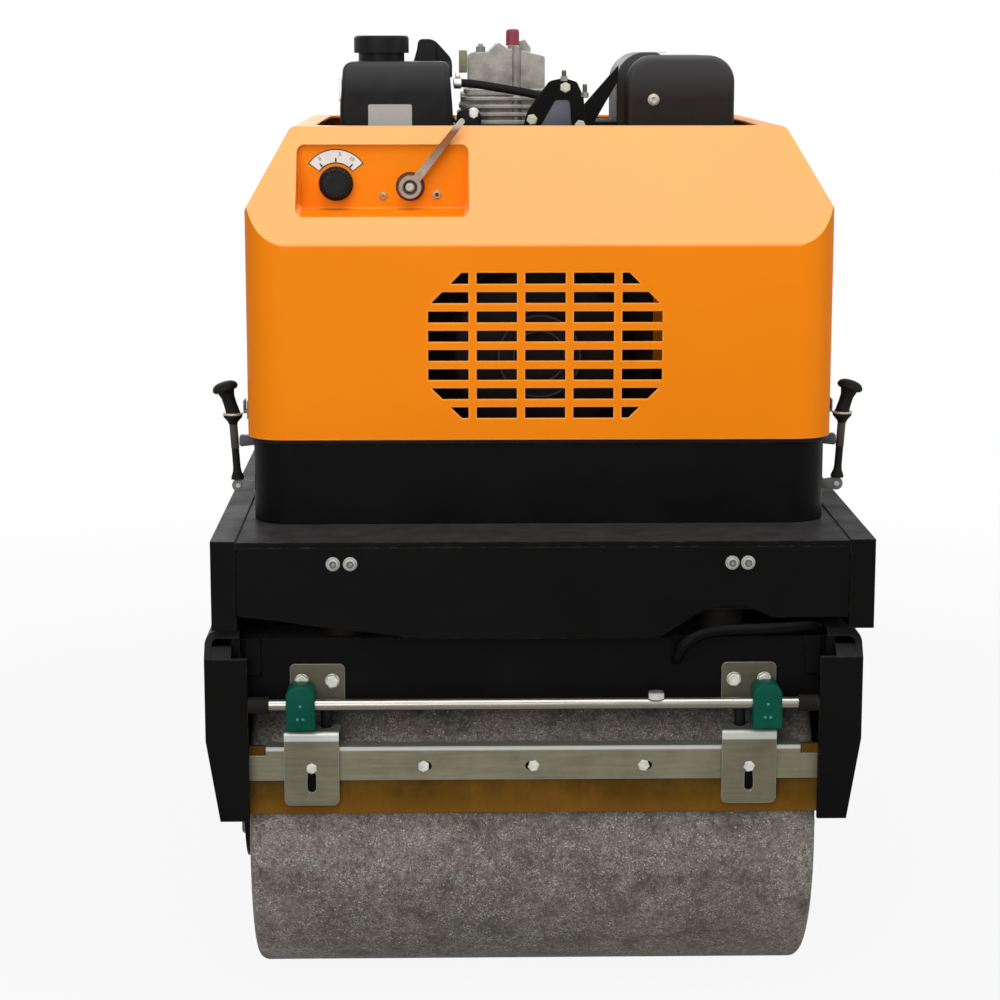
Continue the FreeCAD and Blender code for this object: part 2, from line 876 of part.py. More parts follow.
def make_starter():
    y = -crank_front
    r = starter_radius
    dish = starter_depth * 0.57
    shoulder = starter_depth - 8.0
    well = starter_depth - 6.0
    profile = [(0.0, 0.0), (r, 0.0), (r, dish), (r - 14.0, shoulder - 6.0), (ring_outer, shoulder)]
    profile += [(ring_outer, starter_depth), (ring_inner, starter_depth), (ring_inner, well), (0.0, well)]
    radii = [0.0, 0.0, 9.0, 12.0, 0.0, 0.0, 0.0, 0.0, 0.0]
    face = Part.Face(outline([V(a, y - b, crank_z) for a, b in profile], radii))
    return face.revolve(V(0, 0, crank_z), V(0, 1, 0), 360)


def make_head():
    base_top = head_base + head_base_height
    core_in = 9.0
    base = round_box_z(barrel_left, head_right, -head_front, head_rear, head_base, base_top, 10.0)
    core = box(barrel_left + core_in, head_right - 22.0, -head_front + core_in + 5.0, head_rear - core_in, base_top - 5.0, cover_base + 2.0)
    parts = [base, core]
    for i in range(fin_count):
        z = base_top + 3.0 + i * fin_pitch
        lean = 2.5 * i
        fin_right = head_right - 6.0 - 2 * lean
        parts.append(round_box_z(barrel_left + 2.0 + lean, fin_right, -head_front + 3.0, head_rear - 3.0, z, z + fin_thick, 12.0))
    top = cover_base + cover_height
    peak_x = (cover_left + cover_right) / 2 - 10.0
    roof = [(cover_left, cover_base), (cover_right, cover_base), (cover_right, top), (cover_right - 22.0, top + 5.0)]
    roof += [(peak_x + 12.0, top + 9.0), (peak_x, top + 17.0), (peak_x - 12.0, top + 5.0), (cover_left, top + 4.0)]
    parts.append(prism_y(roof, -cover_front, cover_rear, [0.0, 0.0, 3.0, 4.0, 3.0, 4.0, 4.0, 6.0]))
    lip = round_box_z(cover_left - 5.0, cover_right + 4.0, -cover_front - 3.0, cover_rear + 4.0, cover_base, cover_base + 7.0, 8.0)
    parts.append(lip)
    boss_y = -cover_front + 2.0
    parts.append(rod_z(boss_x, boss_y, base_top, top + boss_up, boss_radius))
    parts.append(rod_z(cap_x, boss_y + 8.0, top, top + cap_post_up, boss_radius))
    tower = [(boss_x + 4.0, top - 8.0), (boss_x + 18.0, top - 8.0), (boss_x + 18.0, top + 10.0), (boss_x + 11.0, top + 20.0), (boss_x + 4.0, top + 18.0)]
    parts.append(prism_y(tower, -cover_front + 25.0, -cover_front + 65.0))
    return fuse(parts)


def make_head_cap():
    y = -cover_front + 10.0
    z = cover_base + cover_height + cap_post_up + seat_gap
    cap = rod_z(cap_x, y, z, z + cap_height, cap_radius)
    return cap.makeFillet(cap_round, ends_of(cap, V(0, 0, 1), z + cap_height))


def make_air_cleaner():
    x0 = cleaner_left
    x1 = cleaner_right
    low = cleaner_low
    top = cleaner_top
    bulge = cleaner_bulge
    front = [(x0 + bulge, low), (x1 - 2.0, low), (x1, low + cleaner_shoulder_up), (x1 - bulge, top), (x0 + bulge, top), (x0, (low + top) / 2)]
    body = prism_y(front, -cleaner_front, cleaner_rear, [0.0, 0.0, cleaner_right_bow, 10.0, 12.0, cleaner_left_bow])
    rim = [e for e in ends_of(body, V(0, 1, 0), -cleaner_front) if e.CenterOfMass.z > top - 12.0]
    body = body.makeFillet(7.0, rim)
    neck_top = top + cleaner_neck_height
    cap_top = neck_top + cleaner_cap_height
    neck = rod_z(cleaner_neck_x, cleaner_neck_y, top - 5.0, neck_top, cleaner_neck_radius)
    cap = rod_z(cleaner_neck_x, cleaner_neck_y, neck_top - 3.0, cap_top, cleaner_cap_radius)
    cap = cap.makeChamfer(2.5, ends_of(cap, V(0, 0, 1), cap_top))
    hump_left = x1 - hump_width
    hump_right = x1 - 1.0
    hump_low = top - hump_drop
    hump_top = top + hump_up
    hump = [(hump_left, hump_low), (hump_right, hump_low), (hump_right, top + 2.0), (x1 - hump_slope, hump_top), (hump_left + 7.0, hump_top)]
    scroll = prism_y(hump, -hump_front, hump_rear, [0.0, 0.0, 20.0, 16.0, 6.0])
    mouth = [(hump_left, top - 4.0), (hump_left + snout_width, top - 4.0), (hump_left + snout_width - 1.0, top + snout_up), (hump_left + 7.0, top + snout_up)]
    snout = prism_y(mouth, -hump_front - snout_reach, -hump_front + 2.0)
    return fuse([body, neck, cap, scroll, snout])


def make_muffler():
    x0 = muffler_left
    x1 = muffler_right
    low = muffler_low
    top = muffler_top
    r = muffler_round
    body = prism_y([(x0, low), (x1, low), (x1, top), (x0, top)], -muffler_front, muffler_rear, [0.0, 0.0, r, r])
    rim = [e for e in ends_of(body, V(0, 1, 0), -muffler_front) if e.CenterOfMass.z > low + 1.0]
    body = body.makeFillet(7.0, rim)
    guard_top = top + guard_lift
    guard_low = low + guard_low_up
    over = x0 + guard_over
    guard = [(guard_left, guard_low), (over, guard_low), (over, guard_top), (guard_left, guard_top)]
    shield = prism_y(guard, -guard_front, guard_rear, [0.0, 0.0, 8.0, guard_round])
    z = tub_bottom + exhaust_up
    stub = rod_x(head_right + seat_gap, x0 + 10.0, -cover_rear, z, exhaust_radius)
    return fuse([body, shield, stub])


def make_engine_bracket():
    y1 = engine_plate_back
    y0 = y1 - bracket_thick
    low = head_base + 9.7
    plate = [(bracket_left, low), (bracket_foot_right, low), (bracket_right, low + bracket_right_up)]
    plate += [(bracket_neck, low + bracket_neck_up), (bracket_peak, low + bracket_peak_up)]
    plate += [(bracket_shoulder, low + bracket_shoulder_up), (bracket_elbow, low + bracket_elbow_up)]
    web = prism_y(plate, y0, y1, [7.0, 5.0, 12.0, 6.0, 14.0, 10.0, 14.0])
    panel = prism_y([(2.0, low + 12.0), (46.0, low + 12.0), (42.0, low + 51.0), (24.0, low + 51.0)], y0 - 1.0, y0 + 3.0, [4.0, 4.0, 5.0, 5.0])
    tip = guard_left - seat_gap
    arm = [(brace_root, low + brace_root_low), (brace_root + 10.0, low + brace_root_low - 4.0), (tip, low + brace_tip_low)]
    arm += [(tip, low + brace_tip_up), (brace_root, low + brace_root_up)]
    strap = prism_y(arm, y0 + 2.0, y1)
    foot = box(50.0, tip, y0 + 2.0, y1, low + 16.0, low + 25.0)
    leg = box(0.0, head_right - 8.0, y1 - 2.0, -head_front - seat_gap, low + 1.0, low + 11.0)
    return fuse([web.cut(panel), strap, foot, leg])


def make_hose():
    z = head_base + cover_up + 15.0
    y = -muffler_front + 25.0
    land = engine_plate_back + hose_radius + seat_gap
    pts = [V(cleaner_right + seat_gap, y, z), V(hose_knee_x, y, z - hose_knee_fall), V(hose_bend_x, y - 5.0, z - hose_bend_fall)]
    pts += [V(hose_drop_x, y - 13.0, z - hose_drop_fall), V(hose_end_x, land, z - hose_end_fall)]
    return swept(pts, hose_radius)


# ------------------------------------------------------------------ lower frame
def side_profile():
    """The side plate seen from the front: a rounded top flange, upright, then tapering in below the bend."""
    w = side_half_width
    bend = side_top - side_bend_down
    low = side_top - side_depth
    t = side_skin
    outside = [(arm_inner, side_top), (w, side_top), (w, bend), (w - side_tuck, low)]
    inside = [(w - side_tuck - t, low), (w - t, bend), (w - t, side_top - t), (arm_inner, side_top - t)]
    return outside + inside


def end_profile():
    w = side_half_width
    x0 = half_drum - end_plate_overlap
    bend = side_top - side_bend_down
    low = side_top - side_depth
    return [(x0, side_top - end_lip_drop), (w, side_top - end_lip_drop), (w, bend), (w - side_tuck, low), (x0, low)]


def make_side(side):
    lip = side_top - end_lip_drop
    low = side_top - side_depth
    cap_end = side_front - cap_setback
    w = side_half_width
    crop = [(-side_front, low - 1.0), (side_front, low - 1.0), (side_front, lip), (cap_end, side_top), (-cap_end, side_top), (-side_front, lip)]
    bends = [0.0, side_bend_round, 0.0, 0.0, 0.0, 0.0, side_bend_round - side_skin, 0.0]
    skin = prism_y(side_profile(), -side_front, side_front, bends).common(prism_x(crop, 0.0, w + 1.0))
    parts = [skin]
    x0 = half_drum - end_plate_overlap
    for end in (-1, 1):
        y0 = end * side_front
        y1 = end * (side_front - end_plate)
        face = prism_y(end_profile(), min(y0, y1), max(y0, y1))
        back = end * end_lip_rise
        slope = prism_x([(y0, lip), (y1, lip), (y1 - back, lip + end_lip_rise), (y0 - back, lip + end_lip_rise)], w - side_ledge, w - side_skin / 2)
        parts += [face, slope]
    web_low = side_top - arm_web_depth
    parts.append(box(arm_inner, arm_outer, -cap_end, cap_end, web_low, side_top))
    for end in (-1, 1):
        y = end * axle_y
        parts.append(box(arm_inner, arm_outer, y - arm_half_width, y + arm_half_width, axle_z, web_low + 1.0))
        parts.append(rod_x(arm_inner, arm_outer, y, axle_z, arm_half_width))
    plate = fuse(parts)
    for end in (-1, 1):
        plate = plate.cut(rod_x(arm_inner - 1.0, arm_outer + 1.0, end * axle_y, axle_z, stub_radius))
    return lower(on_side(plate, side))


def make_axle(end):
    y = end * axle_y
    z = axle_z
    flange = arm_inner - axle_flange_thick
    parts = [rod_x(-arm_inner, arm_inner, y, z, axle_radius), rod_x(-arm_outer, arm_outer, y, z, stub_radius)]
    for side in (-1, 1):
        parts.append(rod_x(side * arm_inner, side * flange, y, z, axle_flange_radius))
        parts.append(rod_x(side * flange, side * (flange - bearing_length), y, z, bearing_radius))
    return lower(fuse(parts))


def make_drum(end):
    """One turned profile: a shell with rounded edges and a sunk disc with a hub near each end."""
    y = end * axle_y
    w = half_drum
    r = drum_edge_round
    inner = drum_radius - drum_wall
    disc_out = w - disc_inset
    disc_in = disc_out - disc_thick
    hub = disc_out + hub_length
    bore = axle_radius + running
    half = [(w, drum_radius, r), (w, inner, 3.0), (disc_out, inner, 4.0), (disc_out, hub_radius, 0.0)]
    half += [(hub, hub_radius, 2.0), (hub, bore, 0.0), (disc_in, bore, 0.0), (disc_in, inner, 0.0)]
    both = half + [(-a, b, c) for a, b, c in reversed(half)]
    face = Part.Face(outline([V(a, y, axle_z + b) for a, b, c in both], [c for a, b, c in both]))
    return lower(face.revolve(V(0, y, axle_z), V(1, 0, 0), 360))


def make_beam():
    half = arm_inner
    low = beam_top - beam_height
    web = box(-half, half, -beam_front, -beam_front + beam_wall, low, beam_top)
    top = box(-half, half, -beam_front, -beam_front + beam_flange, beam_top - beam_wall, beam_top)
    parts = [web, top]
    for side in (-1, 1):
        x0 = min(side * half_drum, side * (half_drum - beam_ear_width))
        front = -beam_front - beam_ear_thick
        parts.append(box(x0, x0 + beam_ear_width, front, -beam_front, beam_top - beam_ear_height, beam_top))
    return lower(fuse(parts + [feed_pipe()]))


def feed_pipe():
    """The bent pipe that climbs over the front of the beam and goes down into its top at the right."""
    y = -beam_front - feed_stand
    right = arm_inner - feed_right_in
    end = arm_inner - feed_end_in
    sunk = beam_top - beam_wall / 2
    pts = [V(feed_left, -beam_front + beam_wall / 2, beam_top - 2 * feed_stand), V(feed_left, -beam_front - feed_radius, beam_top - 2 * feed_stand + 1.0)]
    pts += [V(feed_left + feed_foot, y, beam_top - feed_stand), V(feed_knee, y, beam_top + feed_rise)]
    pts += [V(feed_middle, y, beam_top + feed_up), V(right, y, beam_top + feed_top_up)]
    pts += [V(end, -beam_front, beam_top + feed_up), V(end, -beam_front + feed_stand, sunk)]
    return swept(pts, feed_radius)


def make_mounts():
    y = -beam_front + mount_inset
    mounts = [rod_z(side * mount_x, y, beam_top, shelf_low, mount_radius) for side in (-1, 1)]
    return lower(Part.makeCompound(mounts))


# ------------------------------------------------------------------ scraper and sprinkler
def make_scraper_bracket(side):
    c = side * bracket_x
    x0 = c - bracket_half
    x1 = c + bracket_half
    low = beam_top - beam_height
    web = -beam_front
    face = web - bracket_plate
    ear = round_box_y(x0, x1, face, web, low - bracket_plate, beam_top - bracket_top_down, 6.0)
    foot = box(x0 + 4.0, x1 - 4.0, face, web + foot_depth, low - bracket_plate, low)
    shift = left_drop_shift if side < 0 else 0.0
    a = x0 + shift
    b = x1 + shift
    front = -scraper_y - ledge_thick
    top = ledge_z
    toe = beam_top - bar_low_down - 28.0
    section = [(front, toe), (-scraper_y, toe), (-scraper_y, top - ledge_thick), (web + 14.0, top - ledge_thick), (web + 14.0, top), (front, top)]
    drop = prism_x(section, a, b, [0.0, 0.0, 2.0, 0.0, 0.0, 4.5])
    mid = c + shift
    slot_top = toe + 39.0
    slot = round_box_y(mid - 5.0, mid + 5.0, front - 1.0, -scraper_y + 1.0, slot_top - 24.0, slot_top, 4.9)
    corners = round_box_y(a, b, front - 1.0, web + 15.0, toe, top + 20.0, 7.0)
    drop = drop.common(corners).cut(slot)
    stud_x = c - side * stud_in
    stud = rod_z(stud_x, web + 6.0, top - 1.0, low - bracket_plate + 1.0, stud_radius)
    return lower(fuse([ear, foot, drop, stud]))


def make_clamp(side):
    c = side * clamp_x
    half = clamp_width / 2
    y0 = pipe_y - clamp_front
    y1 = -beam_front - bracket_plate
    top = beam_top - clamp_top_down
    low = 2 * pipe_z - top - 3.0
    section = [(y0, low), (y1, low), (y1, top), (y0, top)]
    body = prism_x(section, c - half, c + half, [clamp_low_round, 0.0, 2.0, clamp_top_round])
    sides = ends_of(body, V(1, 0, 0), c - half) + ends_of(body, V(1, 0, 0), c + half)
    body = body.makeFillet(clamp_side_round, [e for e in sides if e.CenterOfMass.y < y1 - 1.0])
    bore = rod_x(c - half - 1.0, c + half + 1.0, pipe_y, pipe_z, pipe_radius + running)
    return lower(body.cut(bore))


def make_pipe():
    bright = half_drum - pipe_inset
    end = half_drum - end_plate_overlap
    parts = [rod_x(-bright, bright, pipe_y, pipe_z, pipe_radius)]
    for side in (-1, 1):
        parts.append(rod_x(side * (bright - 4.0), side * end, pipe_y, pipe_z, socket_radius))
    return lower(fuse(parts))


def make_bar():
    half = half_drum - 1.0
    half_top = half - bar_step_in
    y0 = -scraper_y
    y1 = y0 + bar_thick
    low = beam_top - bar_low_down
    top = beam_top - bar_top_down
    step = top - bar_step
    front = [(-half, low), (half, low), (half, step), (half_top, step), (half_top, top), (-half_top, top), (-half_top, step), (-half, step)]
    face = prism_y(front, y0, y1)
    lip = box(-half_top, half_top, y0, y0 + bar_lip, top - bar_thick, top)
    return lower(fuse([face, lip]))


def make_blade():
    y0 = -scraper_y + bar_thick
    low = beam_top - blade_low_down
    top = beam_top - blade_top_down
    section = [(y0, low), (y0 + blade_thick, low + 2.5), (y0 + blade_thick, top), (y0, top)]
    parts = [prism_x(section, -half_drum, half_drum)]
    tab = half_drum - 1.0 - bar_step_in + blade_tab_gap
    for x0, x1 in ((-half_drum, -tab), (tab, half_drum)):
        parts.append(box(x0, x1, y0, y0 + blade_thick, top - 1.0, beam_top - bar_top_down))
    return lower(fuse(parts))


# ------------------------------------------------------------------ handle, drawn lying flat and then tilted
def tilt_handle(shape):
    s = shape.copy()
    s.rotate(V(0, handle_pivot_y, handle_pivot_z), V(1, 0, 0), handle_rest_angle)
    return s


def make_handle():
    y = handle_pivot_y
    z = handle_pivot_z
    end = y + handle_length
    parts = []
    for side in (-1, 1):
        x = side * handle_arm_x
        parts.append(rod_x(x - handle_sleeve_half, x + handle_sleeve_half, y, z, handle_sleeve_radius))
        parts.append(rod_y(x, y, end, z, handle_tube_radius))
    parts.append(rod_x(-handle_arm_x, handle_arm_x, y + handle_cross_at, z, handle_cross_radius))
    parts.append(rod_x(-handle_half, handle_half, end, z, handle_bar_radius))
    frame = fuse(parts)
    for side in (-1, 1):
        x = side * handle_arm_x
        reach = handle_sleeve_half + 1.0
        frame = frame.cut(rod_x(x - reach, x + reach, y, z, handle_pin_radius + running))
    return tilt_handle(frame)


def make_grip(side):
    tip = handle_half + grip_cap
    root = handle_arm_x + handle_tube_radius + grip_past_tube
    y = handle_pivot_y + handle_length
    z = handle_pivot_z
    body = rod_x(root, tip, y, z, grip_radius)
    rims = ends_of(body, V(1, 0, 0), tip) + ends_of(body, V(1, 0, 0), root)
    body = body.makeFillet(grip_rim_round, rims)
    body = body.cut(rod_x(root - 1.0, handle_half, y, z, handle_bar_radius))
    return tilt_handle(on_side(body, side))


def console_section():
    y0 = handle_pivot_y + handle_length - console_back
    y1 = y0 + console_run
    z = handle_pivot_z + console_up
    ridge = (y1 - console_ridge, z + console_high_height)
    return [(y0, z), (y1, z), (y1, z + console_back_height), ridge, (y0, z + console_low_height)]


def make_console():
    reach = handle_arm_x - handle_tube_radius
    half = reach - console_side_gap
    section = console_section()
    y0, z0 = section[0]
    r = console_round
    body = prism_x(section, -half, half, [r, r, 1.25 * r, 1.5 * r, r])
    strap_in = console_run / 5
    strap = box(-reach, reach, y0 + strap_in, y0 + console_run - strap_in, z0, z0 + console_strap_height)
    return tilt_handle(fuse([body, strap]))


def make_travel_lever():
    section = console_section()
    low = section[4]
    high = section[3]
    lean = math.atan2(high[1] - low[1], high[0] - low[0])
    n = V(0, -math.sin(lean), math.cos(lean))
    y = low[0] + (high[0] - low[0]) * travel_lever_at
    z = low[1] + (high[1] - low[1]) * travel_lever_at
    seat = V(travel_lever_x, y, z) + n * seat_gap
    boot = Part.makeCone(travel_boot_radius, travel_boot_top, travel_boot_height, seat, n)
    stem_root = travel_boot_height / 2
    stem = Part.makeCylinder(travel_lever_radius, travel_lever_length, seat + n * stem_root, n)
    ball = Part.makeSphere(travel_ball_radius, seat + n * (stem_root + travel_lever_length + travel_ball_radius / 2))
    return tilt_handle(fuse([stem, ball, boot]))


# ------------------------------------------------------------------ assembly
def put(name, shape):
    s = shape.copy()
    s.translate(V(0, row_shift_y, 0))
    nodes[name] = s


def put_both_ends(name, shape):
    """The piece at the front, and its mirror image at the rear."""
    put(name.replace("END", "front"), shape)
    put(name.replace("END", "rear"), mirror_y(shape))


def build():
    put("upper_frame", make_upper_frame())
    put("front_plate", make_front_plate())
    put("rear_plate", make_rear_plate())
    put_both_ends("mount_shelf_END", make_shelf())
    put("base_tub", make_tub())
    put("hood_shell", make_hood())
    put("speed_knob", make_knob())
    put("throttle_lever", make_lever())
    put("engine_block", make_engine_block())
    put("recoil_starter", make_starter())
    put("cylinder_head", make_head())
    put("head_cap", make_head_cap())
    put("air_cleaner", make_air_cleaner())
    put("muffler", make_muffler())
    put("engine_bracket", make_engine_bracket())
    put("breather_hose", make_hose())
    put("axle_front", make_axle(-1))
    put("axle_rear", make_axle(1))
    put("drum_front", make_drum(-1))
    put("drum_rear", make_drum(1))
    put_both_ends("beam_END", make_beam())
    put_both_ends("rubber_mounts_END", make_mounts())
    put_both_ends("spray_pipe_END", make_pipe())
    put_both_ends("scraper_bar_END", make_bar())
    put_both_ends("scraper_blade_END", make_blade())
    put("handle_frame", make_handle())
    put("control_console", make_console())
    put("travel_lever", make_travel_lever())
    for side, word in ((-1, "left"), (1, "right")):
        put("hood_hook_" + word, make_hook(side))
        put("latch_" + word, make_latch(side))
        put("side_frame_" + word, make_side(side))
        put("handle_grip_" + word, make_grip(side))
        put_both_ends("scraper_bracket_END_" + word, make_scraper_bracket(side))
        put_both_ends("pipe_clamp_END_" + word, make_clamp(side))


os.makedirs("parts", exist_ok=True)
build()
for name, shape in nodes.items():
    shape.exportStep("parts/" + name + ".step")
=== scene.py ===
import json
import math

import bmesh
import bpy
from bpy.props import FloatProperty, FloatVectorProperty, IntProperty, PointerProperty
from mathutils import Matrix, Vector


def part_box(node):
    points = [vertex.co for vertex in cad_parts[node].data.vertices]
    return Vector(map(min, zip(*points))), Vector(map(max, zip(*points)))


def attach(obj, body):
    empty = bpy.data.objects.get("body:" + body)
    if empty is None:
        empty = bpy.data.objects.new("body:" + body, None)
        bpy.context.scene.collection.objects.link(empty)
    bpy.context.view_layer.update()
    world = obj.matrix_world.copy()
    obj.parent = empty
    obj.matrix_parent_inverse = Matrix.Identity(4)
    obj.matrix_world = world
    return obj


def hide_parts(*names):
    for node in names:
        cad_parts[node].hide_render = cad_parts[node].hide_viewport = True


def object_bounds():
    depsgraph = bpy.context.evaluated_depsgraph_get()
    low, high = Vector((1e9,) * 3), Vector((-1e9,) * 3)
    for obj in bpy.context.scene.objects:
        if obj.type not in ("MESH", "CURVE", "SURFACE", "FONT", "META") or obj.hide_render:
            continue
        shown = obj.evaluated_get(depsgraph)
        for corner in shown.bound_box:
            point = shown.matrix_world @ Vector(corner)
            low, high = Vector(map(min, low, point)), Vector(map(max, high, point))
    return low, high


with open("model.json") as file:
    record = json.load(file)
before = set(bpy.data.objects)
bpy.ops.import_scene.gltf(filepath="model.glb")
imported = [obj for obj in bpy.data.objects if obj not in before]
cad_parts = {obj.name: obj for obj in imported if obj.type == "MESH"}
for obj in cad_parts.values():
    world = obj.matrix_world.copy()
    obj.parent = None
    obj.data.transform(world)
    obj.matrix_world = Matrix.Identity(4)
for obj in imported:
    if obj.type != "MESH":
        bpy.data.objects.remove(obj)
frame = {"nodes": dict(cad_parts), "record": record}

bl_info = {
    "name": "Vibratory roller dressing",
    "version": (1, 0, 0),
    "blender": (4, 5, 0),
    "location": "View3D > Sidebar > Roller",
    "description": "Gives the packed roller its finishes, fasteners, trim and studio",
    "category": "Add Mesh",
}

NODES = frame["nodes"]
BOX = {name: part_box(name) for name in NODES}
CAD_LOW, CAD_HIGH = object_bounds()

FRONT = Vector((0, -1, 0))
REAR = Vector((0, 1, 0))
LEFT = Vector((-1, 0, 0))
RIGHT = Vector((1, 0, 0))
UP = Vector((0, 0, 1))
SIDES = ((-1, "left", LEFT), (1, "right", RIGHT))
ENDS = (("front", FRONT), ("rear", REAR))

MM = 0.001
MERGE = 1e-6
SHARP = math.radians(30)
HEXAGON = 0.577  # corner radius over width across flats
SKIN = 0.0004  # how far a piece is sunk into, or stands off, the face it sits on
REST_TILT = math.radians(24)  # the handle at rest, over level
HANDLE_PIVOT = (0, 524, 520)  # in millimetres, for at()
CONSOLE_RUN, CONSOLE_RISE = 110, 42  # the console's slope in millimetres, as if the handle lay level

FINISH = {}


# ---------------------------------------------------------------- places read from the frame
def low(node):
    return BOX[node][0]


def high(node):
    return BOX[node][1]


def middle(node):
    return (low(node) + high(node)) / 2


def end_face(node, facing):
    """How far along Y the node's outermost face lies, on the end that faces that way."""
    return low(node).y if facing is FRONT else high(node).y


CENTRE = (low("drum_front") + high("drum_rear")) / 2


def at(x, y, z):
    """A place in millimetres: x from the machine's centre line, y from midway between the drums, z up."""
    return Vector((x * MM, CENTRE.y + y * MM, z * MM))


PANEL_FACE = low("throttle_lever").y + 0.018
HOSE_SPOT = Vector((low("breather_hose").x, at(0, -140, 0).y, 1.0548))


def spots_on(y, facing, points):
    """(place, facing) pairs for points of (x, z) on an upright plane."""
    return [(Vector((x, y, z)), facing) for x, z in points]


# ---------------------------------------------------------------- hand tools
def clear_selection():
    if bpy.context.object and bpy.context.object.mode != "OBJECT":
        bpy.ops.object.mode_set(mode="OBJECT")
    bpy.ops.object.select_all(action="DESELECT")


def take(piece):
    clear_selection()
    piece.select_set(True)
    bpy.context.view_layer.objects.active = piece
    return piece


def whole_mesh():
    bpy.ops.mesh.select_all(action="SELECT")


def open_mesh(piece):
    take(piece)
    bpy.ops.object.mode_set(mode="EDIT")
    whole_mesh()


def close_mesh():
    """Merges doubles, turns the faces outwards and leaves edit mode."""
    whole_mesh()
    bpy.ops.mesh.remove_doubles(threshold=MERGE)
    bpy.ops.mesh.normals_make_consistent(inside=False)
    bpy.ops.object.mode_set(mode="OBJECT")
    return bpy.context.object


def extrude(height):
    bpy.ops.mesh.extrude_region_move(TRANSFORM_OT_translate={"value": (0, 0, height)})


def pick(test):
    """In edit mode, selects only the faces that pass the test."""
    bpy.ops.mesh.select_all(action="DESELECT")
    bpy.ops.mesh.select_mode(type="FACE")
    net = bmesh.from_edit_mesh(bpy.context.object.data)
    for face in net.faces:
        face.select_set(bool(test(face)))
    net.select_flush_mode()
    bmesh.update_edit_mesh(bpy.context.object.data)


def pen(points):
    """Draws a chain of edges through the points, one extruded corner at a time."""
    clear_selection()
    bpy.ops.mesh.primitive_plane_add(size=0.01)
    open_mesh(bpy.context.object)
    bpy.ops.mesh.merge(type="CENTER")
    bpy.ops.mesh.select_mode(type="VERT")
    whole_mesh()
    bpy.ops.transform.translate(value=Vector(points[0]))
    for here, there in zip(points, points[1:]):
        step = Vector(there) - Vector(here)
        bpy.ops.mesh.extrude_vertices_move(TRANSFORM_OT_translate={"value": step})
    whole_mesh()


def turned(profile, steps=32):
    """Turns a profile of (radius, height) points about Z."""
    pen([(radius, 0, height) for radius, height in profile])
    bpy.ops.mesh.spin(steps=steps, angle=2 * math.pi, center=(0, 0, 0), axis=UP)
    return close_mesh()


def plate(outline, thickness, rim=0.0):
    """A flat piece lying on Z = 0 with this outline of (x, y) points, with softened upper rim."""
    pen([(x, y, 0) for x, y in outline])
    bpy.ops.mesh.edge_face_add()
    whole_mesh()
    extrude(thickness)
    if rim > 0:
        bpy.ops.mesh.region_to_loop()
        bpy.ops.mesh.bevel(offset=rim, segments=2, affect="EDGES")
    return close_mesh()


def arc(radius, start, stop, steps, centre=(0.0, 0.0)):
    turn = [math.radians(start + (stop - start) * i / steps) for i in range(steps + 1)]
    return [(centre[0] + radius * math.cos(a), centre[1] + radius * math.sin(a)) for a in turn]


def rounded(half_x, half_y, radius):
    """Outline of a rectangle with rounded corners, centred on the origin."""
    points = []
    for sx, sy, start in ((1, 1, 0), (-1, 1, 90), (-1, -1, 180), (1, -1, 270)):
        points += arc(radius, start, start + 90, 5, (sx * (half_x - radius), sy * (half_y - radius)))
    return points


def fix(piece, spot):
    """Moves the piece by the spot and puts its place and turn into its mesh."""
    piece.location = spot
    bpy.ops.object.transform_apply(location=True, rotation=True, scale=True)
    return piece


def place(piece, spot, facing=UP, roll=0.0):
    """Stands the piece's Z along the facing direction at the spot."""
    take(piece)
    piece.rotation_mode = "QUATERNION"
    spin = Matrix.Rotation(roll, 4, UP).to_quaternion()
    piece.rotation_quaternion = Vector(facing).to_track_quat("Z", "Y") @ spin
    return fix(piece, spot)


def swing(piece, spot, angle):
    """Turns the piece about X and moves it."""
    take(piece)
    piece.rotation_mode = "XYZ"
    piece.rotation_euler = (angle, 0, 0)
    return fix(piece, spot)


def upright(piece, spot):
    """Stands a plate that was drawn in X and Z up to face the front, with its back at the spot's depth."""
    return swing(piece, spot, math.pi / 2)


def joined(parts):
    clear_selection()
    for part in parts:
        part.select_set(True)
    bpy.context.view_layer.objects.active = parts[0]
    if len(parts) > 1:
        bpy.ops.object.join()
    return bpy.context.object


def copies(pattern, spots, roll=0.7):
    """One copy of the pattern, with a mesh of its own, at each (place, facing) pair.

    Each is rolled a bit more than the last, and the pattern goes.
    """
    made = []
    for index, (spot, facing) in enumerate(spots):
        copy = pattern.copy()
        copy.data = pattern.data.copy()
        bpy.context.collection.objects.link(copy)
        made.append(place(copy, spot, facing, roll=roll * index))
    bpy.data.objects.remove(pattern)
    return joined(made)


def finish_piece(piece, name, finish, body="chassis", smooth=35.0):
    """Names the piece, paints it, smooths it and lets it ride on its body."""
    take(piece)
    piece.name = name
    piece.data.name = name
    piece.data.materials.clear()
    piece.data.materials.append(FINISH[finish])
    if smooth:
        bpy.ops.object.shade_smooth_by_angle(angle=math.radians(smooth))
    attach(piece, body)
    return piece


def soften(piece, width, segments=2):
    """Rounds every sharp edge, as an applied bevel."""
    take(piece)
    bevel = piece.modifiers.new("soften", "BEVEL")
    bevel.width = width
    bevel.segments = segments
    bevel.limit_method = "ANGLE"
    bevel.angle_limit = SHARP
    bpy.ops.object.modifier_apply(modifier=bevel.name)
    return piece


